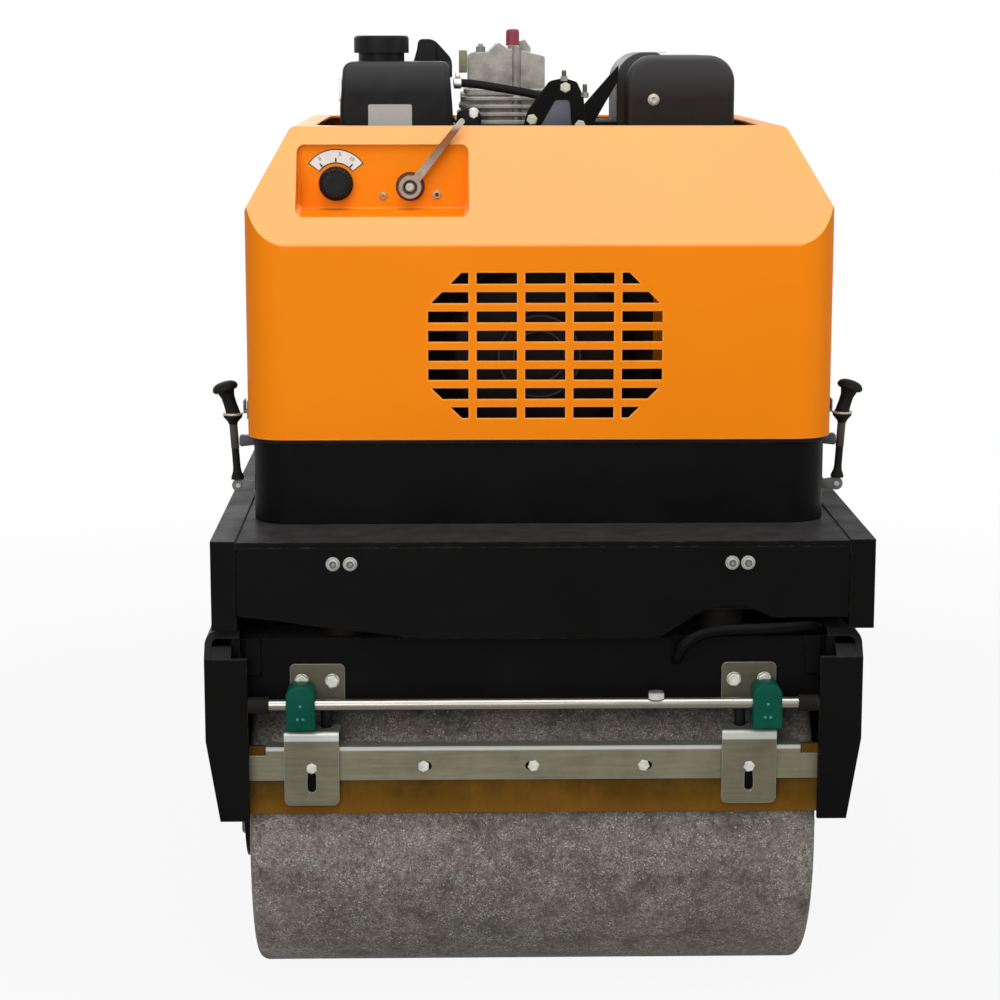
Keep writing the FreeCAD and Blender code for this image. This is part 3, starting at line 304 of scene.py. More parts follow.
# ---------------------------------------------------------------- fasteners, each modelled once
def hex_head(across, height, washer, reach=0.78):
    """A chamfered hexagon head on a round washer; reach is the washer's radius over the head's width."""
    clear_selection()
    bpy.ops.mesh.primitive_cylinder_add(
        vertices=6, radius=across * HEXAGON, depth=height, location=(0, 0, washer + height / 2)
    )
    open_mesh(bpy.context.object)
    pick(lambda f: f.normal.z > 0.9)
    bpy.ops.mesh.inset(thickness=across * 0.09, depth=0)
    bpy.ops.transform.translate(value=(0, 0, height * 0.18))
    head = close_mesh()
    wide = across * reach
    disc = [(0, 0), (wide * 0.98, 0), (wide, washer * 0.4), (wide * 0.97, washer), (0, washer)]
    return joined([head, turned(disc, steps=24)])


def socket_head(radius, height, washer):
    """A round head with a rolled rim and a round socket, on a washer."""
    rim = radius * 0.16
    well = radius * 0.5
    profile = [(radius, 0), (radius, height - rim), (radius - rim * 0.3, height - rim * 0.3)]
    profile += [(radius - rim, height), (radius * 0.56, height), (well, height - rim * 0.4)]
    profile += [(well, height * 0.45), (0, height * 0.4)]
    head = turned(profile, steps=24)
    wide = radius * 1.25
    disc = [(0, -washer), (wide, -washer), (radius * 1.27, -washer * 0.5), (radius * 1.2, 0), (0, 0)]
    return place(joined([head, turned(disc, steps=24)]), (0, 0, washer))


def pan_head(radius, height):
    """A low domed head with a cross slot."""
    dome = [(radius * math.cos(a), height * math.sin(a)) for a in (0, 0.35, 0.7, 1.05, 1.4)]
    head = turned(dome + [(radius * 0.12, height), (0, height * 0.55)], steps=24)

    def in_cross(face):
        spot = face.calc_center_median()
        return spot.xy.length < radius * 0.62 and min(abs(spot.x), abs(spot.y)) < radius * 0.13

    open_mesh(head)
    pick(in_cross)
    extrude(-height * 0.4)
    return close_mesh()


def stud(radius, length):
    """A rod with turned thread rings and a chamfered tip."""
    pitch = radius * 0.45
    profile = [(0, 0), (radius, 0)]
    for i in range(int(length / pitch) - 1):
        z = pitch * (i + 0.5)
        profile += [(radius * 0.84, z), (radius, z + pitch / 2)]
    profile += [(radius * 0.7, length), (0, length)]
    return turned(profile, steps=14)


def ring(inside, outside, height, steps=40):
    """A flat ring with broken edges, standing on Z = 0."""
    edge = min(height, outside - inside) * 0.2
    profile = [(inside, 0), (outside, 0), (outside, height - edge), (outside - edge, height)]
    return turned(profile + [(inside, height), (inside, 0)], steps=steps)


def button(radius, height, dome=0.3, steps=32):
    """A disc with a rounded rim."""
    rim = height * dome
    profile = [(0, 0), (radius, 0), (radius, height - rim), (radius - rim * 0.4, height - rim * 0.3)]
    return turned(profile + [(radius - rim, height), (0, height)], steps=steps)


# ---------------------------------------------------------------- finishes
def wire(tree, socket, value):
    """Links another node's output to the socket, or sets a colour or a number on it."""
    if isinstance(value, bpy.types.NodeSocket):
        tree.links.new(value, socket)
    elif socket.type == "RGBA":
        socket.default_value = (*value, 1.0)
    else:
        socket.default_value = value


def add_node(tree, kind, output, inputs=(), **choices):
    """Adds a shader node, sets its choices, wires its inputs, and returns one of its outputs."""
    made = tree.nodes.new("ShaderNode" + kind)
    for key, value in choices.items():
        setattr(made, key, value)
    for key, value in dict(inputs).items():
        wire(tree, made.inputs[key], value)
    return made.outputs[output]


def own_tree(owner, output, shader):
    """The owner's emptied node tree, with its output node and one shader node."""
    owner.use_nodes = True
    tree = owner.node_tree
    tree.nodes.clear()
    out = tree.nodes.new("ShaderNode" + output)
    last = tree.nodes.new("ShaderNode" + shader)
    tree.links.new(last.outputs[0], out.inputs["Surface"])
    return tree, last


def shade(colour, share, lift=0.0):
    """The colour made darker or lighter."""
    return tuple(min(1, c * share + lift) for c in colour)


class Paint:
    """A Principled material built up from procedural layers on Object coordinates."""

    def __init__(self, name, roughness=0.5, metallic=0.0, specular=0.5):
        material = bpy.data.materials.new(name)
        self.tree, self.shader = own_tree(material, "OutputMaterial", "BsdfPrincipled")
        self.place = self.node("TexCoord", "Object")
        self.set("Roughness", roughness)
        self.set("Metallic", metallic)
        self.set("Specular IOR Level", specular)
        self.body = None
        self.normal = None
        FINISH[name] = material

    def set(self, socket, value):
        wire(self.tree, self.shader.inputs[socket], value)

    def node(self, kind, output, inputs=(), **choices):
        return add_node(self.tree, kind, output, inputs, **choices)

    def stretched(self, *scale):
        return self.node("Mapping", "Vector", {"Vector": self.place, "Scale": scale})

    def noise(self, per_metre, detail=4.0, rough=0.55, vector=None):
        inputs = {"Vector": vector or self.place, "Scale": per_metre, "Detail": detail, "Roughness": rough}
        return self.node("TexNoise", "Fac", inputs)

    def cells(self, per_metre):
        return self.node("TexVoronoi", "Distance", {"Vector": self.place, "Scale": per_metre})

    def ramp(self, value, start, stop, least=0.0, most=1.0):
        """Least up to the start, most from the stop on, and a straight line between them."""
        inputs = {"Value": value, "From Min": start, "From Max": stop, "To Min": least, "To Max": most}
        return self.node("MapRange", "Result", inputs)

    def patches(self, noise, start, stop, least=0.0, most=1.0):
        """A ramp over a noise, given ready made or by its scale, detail and roughness."""
        ready = isinstance(noise, bpy.types.NodeSocket)
        return self.ramp(noise if ready else self.noise(*noise), start, stop, least, most)

    def sums(self, operation, first, second):
        return self.node("Math", "Value", {0: first, 1: second}, operation=operation)

    def times(self, first, second):
        return self.sums("MULTIPLY", first, second)

    def coat(self, share, colour, under=None):
        """Lays a colour over the coats so far, or over a first colour."""
        inputs = {0: share, 6: under or self.body, 7: colour}
        self.body = self.node("Mix", 2, inputs, data_type="RGBA")
        self.set("Base Color", self.body)

    def clouds(self, noise, start, stop, dark, light):
        """The first coat: the base colour drifts between a darker and a lighter one."""
        self.coat(self.patches(noise, start, stop), light, under=dark)

    def roughen(self, value, least, most, start=0.3):
        self.set("Roughness", self.ramp(value, start, 0.7, least, most))

    def surface(self):
        return self.node("NewGeometry", "Normal")

    def softened(self, width):
        return self.node("Bevel", "Normal", {"Radius": width}, samples=6)

    def facing(self, axis):
        """How far the true surface points along an axis, from -1 to 1."""
        return self.node("SeparateXYZ", axis, {"Vector": self.surface()})

    def coordinate(self, axis):
        return self.node("SeparateXYZ", axis, {"Vector": self.place})

    def edges(self, width, start=0.995, full=0.9):
        """1 on edges and corners of that width, 0 on flat faces."""
        inputs = {0: self.softened(width), 1: self.surface()}
        dot = self.node("VectorMath", "Value", inputs, operation="DOT_PRODUCT")
        return self.ramp(dot, start, full)

    def bump(self, height, depth, strength, rounding=0.0):
        inputs = {"Height": height, "Distance": depth, "Strength": strength}
        if self.normal is not None:
            inputs["Normal"] = self.normal
        elif rounding:
            inputs["Normal"] = self.softened(rounding)
        self.normal = self.node("Bump", "Normal", inputs)
        self.set("Normal", self.normal)


def paint_orange(colour):
    """Sprayed enamel: faint orange peel, a painted sheen on what faces up, a painted highlight on its edges,
    painted shade on its inside faces.
    """
    paint = Paint("orange_enamel", roughness=0.46, specular=0.05)
    paint.clouds((5, 3), 0.3, 0.7, shade(colour, 0.94), colour)
    # Painted sheen: faces that point up are paled, except nearly flat faces below 0.97 m.
    flat = paint.ramp(paint.facing("Z"), 0.95, 0.85)
    sheen = paint.times(paint.ramp(paint.facing("Z"), 0.1, 0.4), 0.31)
    high_up = paint.ramp(paint.coordinate("Z"), 0.95, 0.97)
    paint.coat(paint.times(sheen, paint.sums("MAXIMUM", flat, high_up)), (1.0, 0.8, 0.44))
    # Painted highlight: edges and corners are lightened to a pale orange in noisy patches.
    worn = paint.times(paint.edges(0.003, 0.999, 0.96), paint.patches((60, 5), 0.3, 0.6, 0.2, 0.45))
    paint.coat(worn, (1.0, 0.56, 0.16))
    # Painted shade: faces on the hood's sides that point in towards the centre line are darkened to a deep
    # red-brown.
    inwards = paint.times(paint.facing("X"), paint.coordinate("X"))
    paint.coat(paint.ramp(inwards, -0.28, -0.32, 0.0, 0.94), (0.045, 0.01, 0.002))
    paint.bump(paint.noise(420, 2), 0.0003, 0.35, rounding=0.002)


def paint_black(colour):
    """Satin black paint on plate, greyed by dirt and a painted sheen on what faces up, rubbed along its
    edges.
    """
    paint = Paint("black_paint", roughness=0.42)
    paint.clouds((9, 5), 0.35, 0.7, colour, shade(colour, 1.5, 0.0008))
    # Real dirt and painted sheen together: faces that point up turn grey in noisy patches.
    dust_and_sheen = paint.times(paint.ramp(paint.facing("Z"), 0.3, 0.9), paint.patches((38, 6), 0.2, 0.8, 0.25, 0.6))
    paint.coat(dust_and_sheen, (0.066, 0.066, 0.067))
    paint.set("Specular IOR Level", paint.ramp(paint.facing("Z"), 0.5, 0.9, 0.042, 0.012))
    wear = paint.times(paint.edges(0.0018), paint.patches((90, 5), 0.48, 0.7))
    paint.coat(paint.times(wear, 0.3), (0.15, 0.13, 0.11))
    paint.roughen(paint.noise(24, 4), 0.36, 0.5)
    paint.bump(paint.noise(520, 3), 0.0003, 0.4, rounding=0.0022)


def paint_heat(colour):
    """Heat-proof paint of the muffler: brown-black, greyer towards its top and on what faces up, partly heat
    bleaching and partly painted highlight.
    """
    paint = Paint("heat_paint", roughness=0.5, specular=0.12)
    paint.clouds((16, 5, 0.6), 0.3, 0.72, colour, shade(colour, 1.45))
    # Greyer towards the top: heat bleaching and painted highlight together.
    paint.coat(paint.times(paint.ramp(paint.coordinate("Z"), 1.035, 1.086), 0.75), (0.062, 0.064, 0.068))
    # Painted highlight on what faces up.
    paint.coat(paint.times(paint.ramp(paint.facing("Z"), 0.3, 0.9), 0.8), (0.105, 0.107, 0.112))
    paint.roughen(paint.noise(40, 4), 0.42, 0.58)
    paint.bump(paint.noise(600, 3), 0.0003, 0.5, rounding=0.003)


def paint_zinc(name, colour, highlight_band):
    """Dull yellow-grey zinc plate: clouds, rolling marks, a painted reflection strip between the given
    heights, painted shade above it and painted highlights on its edges.
    """
    paint = Paint(name, roughness=0.42, metallic=0.5, specular=0.2)
    bottom, top = highlight_band
    paint.clouds((26, 5, 0.6), 0.3, 0.72, shade(colour, 0.78), shade(colour, 1.12))
    grain = paint.noise(300, 3, 0.6, paint.stretched(0.06, 1.0, 1.0))
    paint.coat(paint.ramp(grain, 0.4, 0.75, 0.0, 0.35), shade(colour, 1.5))
    height = paint.coordinate("Z")
    # Painted reflection: a bright strip on the bend between the given heights.
    strip = paint.times(paint.ramp(height, bottom, bottom + 0.002), paint.ramp(height, top, top - 0.003))
    # Painted shade: darker above the strip.
    paint.coat(paint.ramp(height, top + 0.01, top + 0.03, 0.0, 0.6), shade(colour, 0.42))
    # Painted highlights on the edges and on the strip.
    bright = paint.sums("MAXIMUM", paint.times(paint.edges(0.0012), 0.45), paint.times(strip, 0.7))
    paint.coat(bright, (0.62, 0.65, 0.62))
    paint.roughen(grain, 0.34, 0.5)
    paint.bump(grain, 0.0002, 0.5, rounding=0.0012)


def paint_drum(colour):
    """Rolled drum steel, worn grey by gravel: pits, bright scuffs, a rust tint and dark stains."""
    paint = Paint("worn_drum_steel", metallic=0.1, specular=0.08)
    fine = paint.noise(500, 6, 0.72)
    pits = paint.cells(300)
    paint.clouds((9, 6, 0.62), 0.36, 0.66, shade(colour, 0.74), shade(colour, 1.36))
    off_centre = paint.sums("SUBTRACT", paint.coordinate("X"), middle("drum_front").x)
    off_centre = paint.sums("ABSOLUTE", off_centre, 0.0)
    paint.coat(paint.ramp(off_centre, 0.2, 0.31, 0.0, 0.4), shade(colour, 1.75))
    paint.coat(paint.patches((190, 5, 0.7), 0.42, 0.6, 0.0, 0.75), shade(colour, 0.36))
    bright = paint.times(paint.ramp(fine, 0.51, 0.63), paint.patches((80, 4), 0.34, 0.58))
    paint.coat(bright, (0.58, 0.56, 0.52))
    paint.coat(paint.times(paint.patches((34, 6, 0.65), 0.5, 0.74), 0.35), (0.15, 0.085, 0.045))
    paint.coat(paint.ramp(pits, 0.1, 0.22, 0.7, 0.0), (0.03, 0.026, 0.022))
    paint.coat(paint.times(paint.patches((22, 5, 0.6), 0.5, 0.68), 0.55), (0.05, 0.042, 0.034))
    bands = paint.patches((130, 5, 0.7, paint.stretched(1.0, 0.04, 0.04)), 0.5, 0.72)
    paint.coat(paint.times(bands, paint.ramp(off_centre, 0.12, 0.3, 0.1, 0.42)), (0.24, 0.19, 0.14))
    glints = paint.times(paint.ramp(paint.cells(150), 0.1, 0.16, 1.0, 0.0), paint.patches((28, 3), 0.52, 0.6))
    paint.coat(paint.times(glints, 0.8), (0.75, 0.74, 0.7))
    paint.roughen(fine, 0.75, 0.5, start=0.35)
    paint.bump(paint.ramp(pits, 0.0, 0.3), 0.0007, 0.6, rounding=0.002)
    paint.bump(fine, 0.0007, 0.8)


def paint_bright_pipe(colour):
    """Drawn stainless pipe with fine lines along it, and painted shade underneath."""
    paint = Paint("bright_pipe_steel", roughness=0.26, metallic=0.9)
    lines = paint.noise(900, 3, 0.6, paint.stretched(0.02, 1.0, 1.0))
    paint.clouds(lines, 0.35, 0.7, shade(colour, 0.8), colour)
    # Painted shade on what faces down.
    paint.coat(paint.ramp(paint.facing("Z"), -0.15, 0.25, 0.72, 0.0), (0.13, 0.115, 0.09))
    paint.roughen(lines, 0.2, 0.34)
    paint.bump(lines, 0.0001, 0.4)


def paint_urethane(colour):
    """Amber polyurethane, scuffed and patchy, warmer towards its lip."""
    paint = Paint("amber_urethane", roughness=0.42, specular=0.05)
    paint.clouds((17, 5, 0.65), 0.36, 0.66, shade(colour, 0.7), shade(colour, 1.28))
    streaks = paint.patches((120, 4, 0.6, paint.stretched(1.0, 1.0, 0.12)), 0.5, 0.72, 0.0, 0.3)
    paint.coat(streaks, shade(colour, 0.45))
    base = low("scraper_blade_front").z
    warm = paint.ramp(paint.coordinate("Z"), base + 0.004, base + 0.022, 0.5, 0.0)
    paint.coat(warm, (0.22, 0.085, 0.01))
    paint.set("Subsurface Weight", 0.1)
    paint.set("Subsurface Radius", (0.006, 0.003, 0.001))
    paint.bump(paint.noise(240, 4), 0.0004, 0.4, rounding=0.001)


def paint_moulding(name, colour, roughness=0.5, specular=0.15, highlight_heights=None):
    """Moulded plastic or rubber: fine grain, faint tone changes and pale scuffs.

    highlight_heights names the heights where a painted highlight starts to grey the moulding, is fully grey,
    and stops.
    """
    paint = Paint(name, roughness=roughness, specular=specular)
    paint.clouds((18, 4), 0.32, 0.7, colour, shade(colour, 1.35))
    if highlight_heights:
        # Painted highlight: blue-grey rising between the given heights, cut off at the last one.
        start, grey, highlight_end = highlight_heights
        height = paint.coordinate("Z")
        below = paint.ramp(height, highlight_end, highlight_end - 0.001)
        paint.coat(paint.times(paint.ramp(height, start, grey, 0.0, 0.9), below), (0.046, 0.047, 0.05))
    scuff = paint.times(paint.edges(0.0015), paint.patches((150, 4), 0.45, 0.7))
    paint.coat(paint.times(scuff, 0.4), shade(colour, 2.2, 0.02))
    paint.roughen(paint.noise(60, 3), roughness - 0.07, roughness + 0.08)
    paint.bump(paint.noise(380, 3), 0.0003, 0.4, rounding=0.0012)


def paint_casting(colour):
    """Sand-cast aluminium: coarse skin, oil-stained hollows, and a painted highlight on its edges."""
    paint = Paint("cast_aluminium", roughness=0.55, metallic=0.4, specular=0.25)
    skin = paint.noise(320, 5, 0.65)
    paint.clouds((30, 5, 0.6), 0.36, 0.66, shade(colour, 0.66), shade(colour, 1.5))
    paint.coat(paint.ramp(skin, 0.55, 0.75, 0.0, 0.4), shade(colour, 0.5))
    paint.coat(paint.times(paint.patches((30, 6, 0.7), 0.55, 0.75), 0.55), (0.09, 0.08, 0.065))
    # Painted highlight: edges lightened in noisy patches.
    rubbed = paint.times(paint.edges(0.002), paint.patches((60, 4), 0.35, 0.65, 0.15, 0.7))
    paint.coat(rubbed, (0.62, 0.6, 0.56))
    paint.bump(skin, 0.0006, 0.6, rounding=0.002)


def paint_steel(name, colour, roughness=0.3, metallic=0.85):
    """Plated steel of small fasteners, with slight tarnish."""
    paint = Paint(name, roughness=roughness, metallic=metallic)
    tarnish = paint.noise(140, 4)
    paint.clouds(tarnish, 0.35, 0.7, shade(colour, 0.7), colour)
    paint.roughen(tarnish, roughness, roughness + 0.15)
    paint.bump(paint.noise(700, 2), 0.0001, 0.3, rounding=0.0006)


def paint_lever(colour):
    """The throttle lever: worn steel with a warm rust film, thicker towards the arm's tip."""
    paint = Paint("lever_steel", metallic=0.2, specular=0.12)
    lines = paint.noise(420, 4, 0.65, paint.stretched(0.3, 1.0, 0.3))
    paint.clouds(lines, 0.35, 0.7, shade(colour, 0.7), colour)
    paint.coat(paint.times(paint.patches((90, 5), 0.46, 0.66), 0.4), (0.22, 0.1, 0.05))
    height = paint.coordinate("Z")
    paint.coat(paint.ramp(height, 0.964, 0.988, 0.0, 0.88), (0.2, 0.07, 0.018))
    paint.coat(paint.ramp(height, 1.003, 1.009, 0.0, 0.95), (0.45, 0.39, 0.32))
    paint.bump(lines, 0.0003, 0.5, rounding=0.001)


def paint_flat(name, colour):
    """A printed or painted surface with a slight mottle."""
    paint = Paint(name, roughness=0.6, specular=0.3)
    paint.clouds((200, 3), 0.3, 0.7, shade(colour, 0.94), colour)
    paint.bump(paint.noise(600, 2), 0.00005, 0.3)


# name: colour, roughness, specular
MOULDINGS = {
    "black_rubber": ((0.009, 0.0078, 0.007), 0.62, 0.08),
    "worn_rubber": ((0.06, 0.05, 0.04), 0.62, 0.08),
    "black_moulding": ((0.0065, 0.0062, 0.006), 0.46, 0.1),
    "engine_moulding": ((0.0105, 0.0062, 0.0058), 0.5, 0.08),
    "red_moulding": ((0.19, 0.034, 0.044), 0.4, 0.15),
    "grey_moulding": ((0.045, 0.046, 0.048), 0.5, 0.15),
    "slate_moulding": ((0.075, 0.078, 0.095), 0.45, 0.15),
    "pale_moulding": ((0.15, 0.15, 0.14), 0.45, 0.15),
    # painted shade, for slots
    "painted_recess_shade": ((0.003, 0.0026, 0.0024), 0.7, 0.05),
    "clamp_mark": ((0.06, 0.2, 0.17), 0.35, 0.15),
}
# name: colour, roughness, metallic
STEELS = {
    "dark_steel": ((0.12, 0.115, 0.11), 0.42, 0.85),
    "tarnished_steel": ((0.27, 0.265, 0.25), 0.4, 0.5),
    "olive_plate": ((0.2, 0.19, 0.1), 0.45, 0.3),
    "zinc_bolt_steel": ((0.66, 0.66, 0.58), 0.42, 0.4),
    "grey_bolt_steel": ((0.42, 0.43, 0.4), 0.5, 0.3),
    "brass_plate": ((0.52, 0.39, 0.19), 0.5, 0.3),
    "cream_plate": ((0.56, 0.53, 0.43), 0.42, 0.3),
}
FLATS = {
    "gap_shadow": (0.1, 0.015, 0.003),
    "pale_guard_grey": (0.16, 0.16, 0.155),
    "dial_white": (0.78, 0.74, 0.69),
    "dial_black": (0.02, 0.018, 0.017),
    "blank_label": (0.42, 0.4, 0.38),
}
NODE_FINISH = {
    "muffler": "heat_paint",
    "air_cleaner": "cleaner_moulding",
    "engine_block": "engine_moulding",
    "recoil_starter": "engine_moulding",
    "scraper_bar_front": "bar_zinc",
    "scraper_bar_rear": "bar_zinc",
}
SLOT_FINISH = {
    "black_steel": "black_paint",
    "hood_orange": "orange_enamel",
    "zinc_steel": "zinc_plate",
    "drum_steel": "worn_drum_steel",
    "bright_pipe": "bright_pipe_steel",
    "amber_urethane": "amber_urethane",
    "green_plastic": "green_moulding",
    "black_rubber": "black_rubber",
    "black_plastic": "black_moulding",
    "cast_alu": "cast_aluminium",
    "red_plastic": "red_moulding",
    "lever_steel": "lever_steel",
}


# ---------------------------------------------------------------- sizes and colours that a user would change
def colour_choice(name, what, *default):
    return FloatVectorProperty(
        name=name, description="Colour of " + what, subtype="COLOR", size=3, default=default, min=0, max=1
    )


def size_choice(name, what, default, least, most):
    return FloatProperty(name=name, description=what, unit="LENGTH", default=default, min=least, max=most)


def count_choice(name, what, default, least, most):
    return IntProperty(name=name, description=what, default=default, min=least, max=most)


def angle_choice(name, what, degrees, **limits):
    angle = math.radians(degrees)
    return FloatProperty(name=name, description=what, subtype="ANGLE", default=angle, **limits)


class RollerFinishes(bpy.types.PropertyGroup):
    """Base colours of the finishes."""

    orange: colour_choice("Hood enamel", "the hood", 0.88, 0.232, 0.0045)
    black: colour_choice("Black paint", "the painted plates", 0.0027, 0.0024, 0.0023)
    zinc: colour_choice("Zinc plate", "brackets and scraper bars", 0.137, 0.127, 0.086)
    drum: colour_choice("Drum steel", "the worn drums", 0.197, 0.178, 0.156)
    pipe: colour_choice("Spray pipe", "the bright pipes", 0.33, 0.312, 0.28)
    urethane: colour_choice("Scraper blade", "the scraper blades", 0.115, 0.056, 0.006)
    green: colour_choice("Pipe clamp", "the pipe clamps", 0.0028, 0.064, 0.041)
    casting: colour_choice("Cylinder head", "the cast head", 0.255, 0.24, 0.212)
    plating: colour_choice("Fasteners", "bolts and screws", 0.62, 0.6, 0.55)


class RollerFasteners(bpy.types.PropertyGroup):
    """Sizes of the bolts and screws."""

    deck_bolt: size_choice("Deck bolt", "Head radius of the bolts in the end plates", 0.0063, 0.002, 0.02)
    bracket_bolt: size_choice("Bracket bolt", "Width across flats of the bracket bolts", 0.0138, 0.004, 0.03)
    flange_bolt: size_choice("Flange bolt", "Width across flats of the axle flange bolts", 0.018, 0.004, 0.04)
    flange_count: count_choice("Flange bolts", "Bolts round each axle flange", 6, 3, 12)
    panel_screw: size_choice("Panel screw", "Head radius of the control panel screws", 0.005, 0.002, 0.01)


class RollerControls(bpy.types.PropertyGroup):
    """Sizes of the dial, the knob and the grips."""

    dial_inner: size_choice("Dial inside", "Inner radius of the dial plate", 0.0243, 0.01, 0.05)
    dial_outer: size_choice("Dial outside", "Outer radius of the dial plate", 0.0383, 0.02, 0.08)
    dial_turn: angle_choice("Dial turn", "Half the angle that the dial spans", 52.5, min=0.2, max=1.5)
    knob_ribs: count_choice("Knob ribs", "Ribs round the knob", 28, 8, 60)
    grip_rings: count_choice("Grip rings", "Raised rings along each handle grip", 9, 2, 20)


class RollerStudio(bpy.types.PropertyGroup):
    """The camera and the light."""

    eye: FloatVectorProperty(
        name="Eye", description="Where the camera stands", subtype="TRANSLATION", size=3,
        default=(-0.103, -3.6505, 1.1),
    )
    pitch: angle_choice("Pitch", "How far the camera looks down", 10.26)
    yaw: angle_choice("Yaw", "How far the camera looks to the right", 1.14)
    lens: FloatProperty(name="Lens", description="Focal length in mm", default=90.47, min=10, max=300)
    strength: FloatProperty(name="Light", description="Strength of all the lamps", default=1.0, min=0, max=5)


def settings(group):
    return getattr(bpy.context.scene, group)


# ---------------------------------------------------------------- operators
class ROLLER_OT_finishes(bpy.types.Operator):
    """Mix the finishes and paint every node of the frame"""

    bl_idname = "roller.finishes"
    bl_label = "Finishes"

    def execute(self, context):
        colours = settings("roller_finishes")
        paint_orange(colours.orange)
        paint_black(colours.black)
        paint_zinc("zinc_plate", colours.zinc, (0.325, 0.338))
        paint_zinc("bar_zinc", shade(colours.zinc, 1.25), (0.3125, 0.319))
        paint_drum(colours.drum)
        paint_bright_pipe(colours.pipe)
        paint_urethane(colours.urethane)
        paint_moulding("green_moulding", colours.green, 0.42, 0.05)
        paint_moulding("cleaner_moulding", (0.007, 0.0066, 0.0066), 0.46, 0.1, highlight_heights=(1.042, 1.071, 1.081))
        paint_heat((0.0125, 0.0088, 0.0074))
        paint_casting(colours.casting)
        paint_lever((0.4, 0.325, 0.255))
        paint_steel("plated_steel", colours.plating)
        for name, row in MOULDINGS.items():
            paint_moulding(name, *row)
        for name, row in STEELS.items():
            paint_steel(name, *row)
        for name, tone in FLATS.items():
            paint_flat(name, tone)
        for part in frame["record"]["subparts"]:
            node = NODES[part["node"]]
            node.data.materials.clear()
            finish = NODE_FINISH.get(part["node"], SLOT_FINISH[part["material_slot"]])
            node.data.materials.append(FINISH[finish])
        return {"FINISHED"}


class ROLLER_OT_deck_bolts(bpy.types.Operator):
    """Pairs of socket bolts in the front and rear end plates"""

    bl_idname = "roller.deck_bolts"
    bl_label = "Deck bolts"

    def execute(self, context):
        size = settings("roller_fasteners").deck_bolt
        tall = size * 0.55
        washer = 0.0012
        plate_thickness = 0.008
        z = high("upper_frame").z - 0.026
        for end, facing in ENDS:
            y = low("front_plate").y if facing is FRONT else low("rear_plate").y + plate_thickness
            spots = spots_on(y, facing, [(x, z) for x in (-0.2342, -0.2151, 0.2102, 0.2278)])
            bolts = copies(socket_head(size, tall, washer), spots)
            finish_piece(bolts, "deck_bolts_" + end, "grey_bolt_steel")
            # Painted shade: a dark ring on each bolt head's rolled rim.
            rim_shade = [(spot + facing * (tall + washer - 0.0001), facing) for spot, facing in spots]
            rim_shade = copies(ring(size * 0.36, size * 0.66, 0.0003, steps=24), rim_shade)
            finish_piece(rim_shade, "deck_bolt_rim_shade_" + end, "dark_steel")
        return {"FINISHED"}


class ROLLER_OT_dial(bpy.types.Operator):
    """The speed dial behind the knob: a fan-shaped plate with ticks and numbers"""

    bl_idname = "roller.dial"
    bl_label = "Speed dial"

    def execute(self, context):
        sizes = settings("roller_controls")
        knob = middle("speed_knob")
        self.centre = Vector((knob.x, PANEL_FACE, knob.z))
        half = math.degrees(sizes.dial_turn)
        fans = []
        for grow, lift in ((0.0012, 0.0004), (0.0, 0.0008)):
            inner = sizes.dial_inner - grow
            outer = sizes.dial_outer + grow
            reach = half + math.degrees(grow / outer)
            outline = arc(outer, 90 - reach, 90 + reach, 24) + arc(inner, 90 + reach, 90 - reach, 24)
            fans.append(place(plate(outline, lift), self.centre, FRONT))
        finish_piece(fans[0], "dial_rim", "dial_black", "hood", smooth=0)
        finish_piece(fans[1], "dial_plate", "dial_white", "hood", smooth=0)
        marks = []
        for angle in (-39, 0, 41):
            tick = plate([(-0.001, 0), (0.001, 0), (0.0008, 0.0048), (-0.0008, 0.0048)], 0.0002)
            marks.append(self.printed(tick, angle, sizes.dial_inner + 0.0003, 0.0008))
        for number, angle in (("0", -33), ("5", 8), ("10", 33)):
            marks.append(self.printed(self.numeral(number), angle, sizes.dial_outer - 0.0066, 0.0009))
        finish_piece(joined(marks), "dial_marks", "dial_black", "hood", smooth=0)
        return {"FINISHED"}

    def printed(self, mark, angle, reach, lift):
        """Puts a mark on the dial, turned to stand along it."""
        a = math.radians(90 - angle)
        spot = self.centre + Vector((math.cos(a) * reach, -lift, math.sin(a) * reach))
        return place(mark, spot, FRONT, roll=math.radians(-angle))

    def numeral(self, text):
        clear_selection()
        bpy.ops.object.text_add()
        letter = bpy.context.object.data
        letter.body = text
        letter.size = 0.0062
        letter.align_x = "CENTER"
        letter.extrude = 0.0001
        bpy.ops.object.convert(target="MESH")
        return bpy.context.object


class ROLLER_OT_seal(bpy.types.Operator):
    """The rubber bead that the hood sits on"""

    bl_idname = "roller.seal"
    bl_label = "Hood seal"

    def execute(self, context):
        tub_top = 0.65
        overhang = 0.0022
        wide = 0.012
        half_x = high("base_tub").x + overhang
        front = low("base_tub").y - overhang
        back = at(0, 276.2, 0).y
        half_y = (back - front) / 2
        loops = []
        for inset, radius in ((0.0, 0.041), (wide, 0.03)):
            loop = [(x, y, 0) for x, y in rounded(half_x - inset, half_y - inset, radius)]
            pen(loop + loop[:1])
            loops.append(close_mesh())
        open_mesh(joined(loops))
        bpy.ops.mesh.bridge_edge_loops()
        whole_mesh()
        extrude(0.0056)
        bead = soften(close_mesh(), 0.0018)
        place(bead, (0, (front + back) / 2, tub_top + 0.0002))
        finish_piece(bead, "hood_seal", "black_rubber")
        return {"FINISHED"}


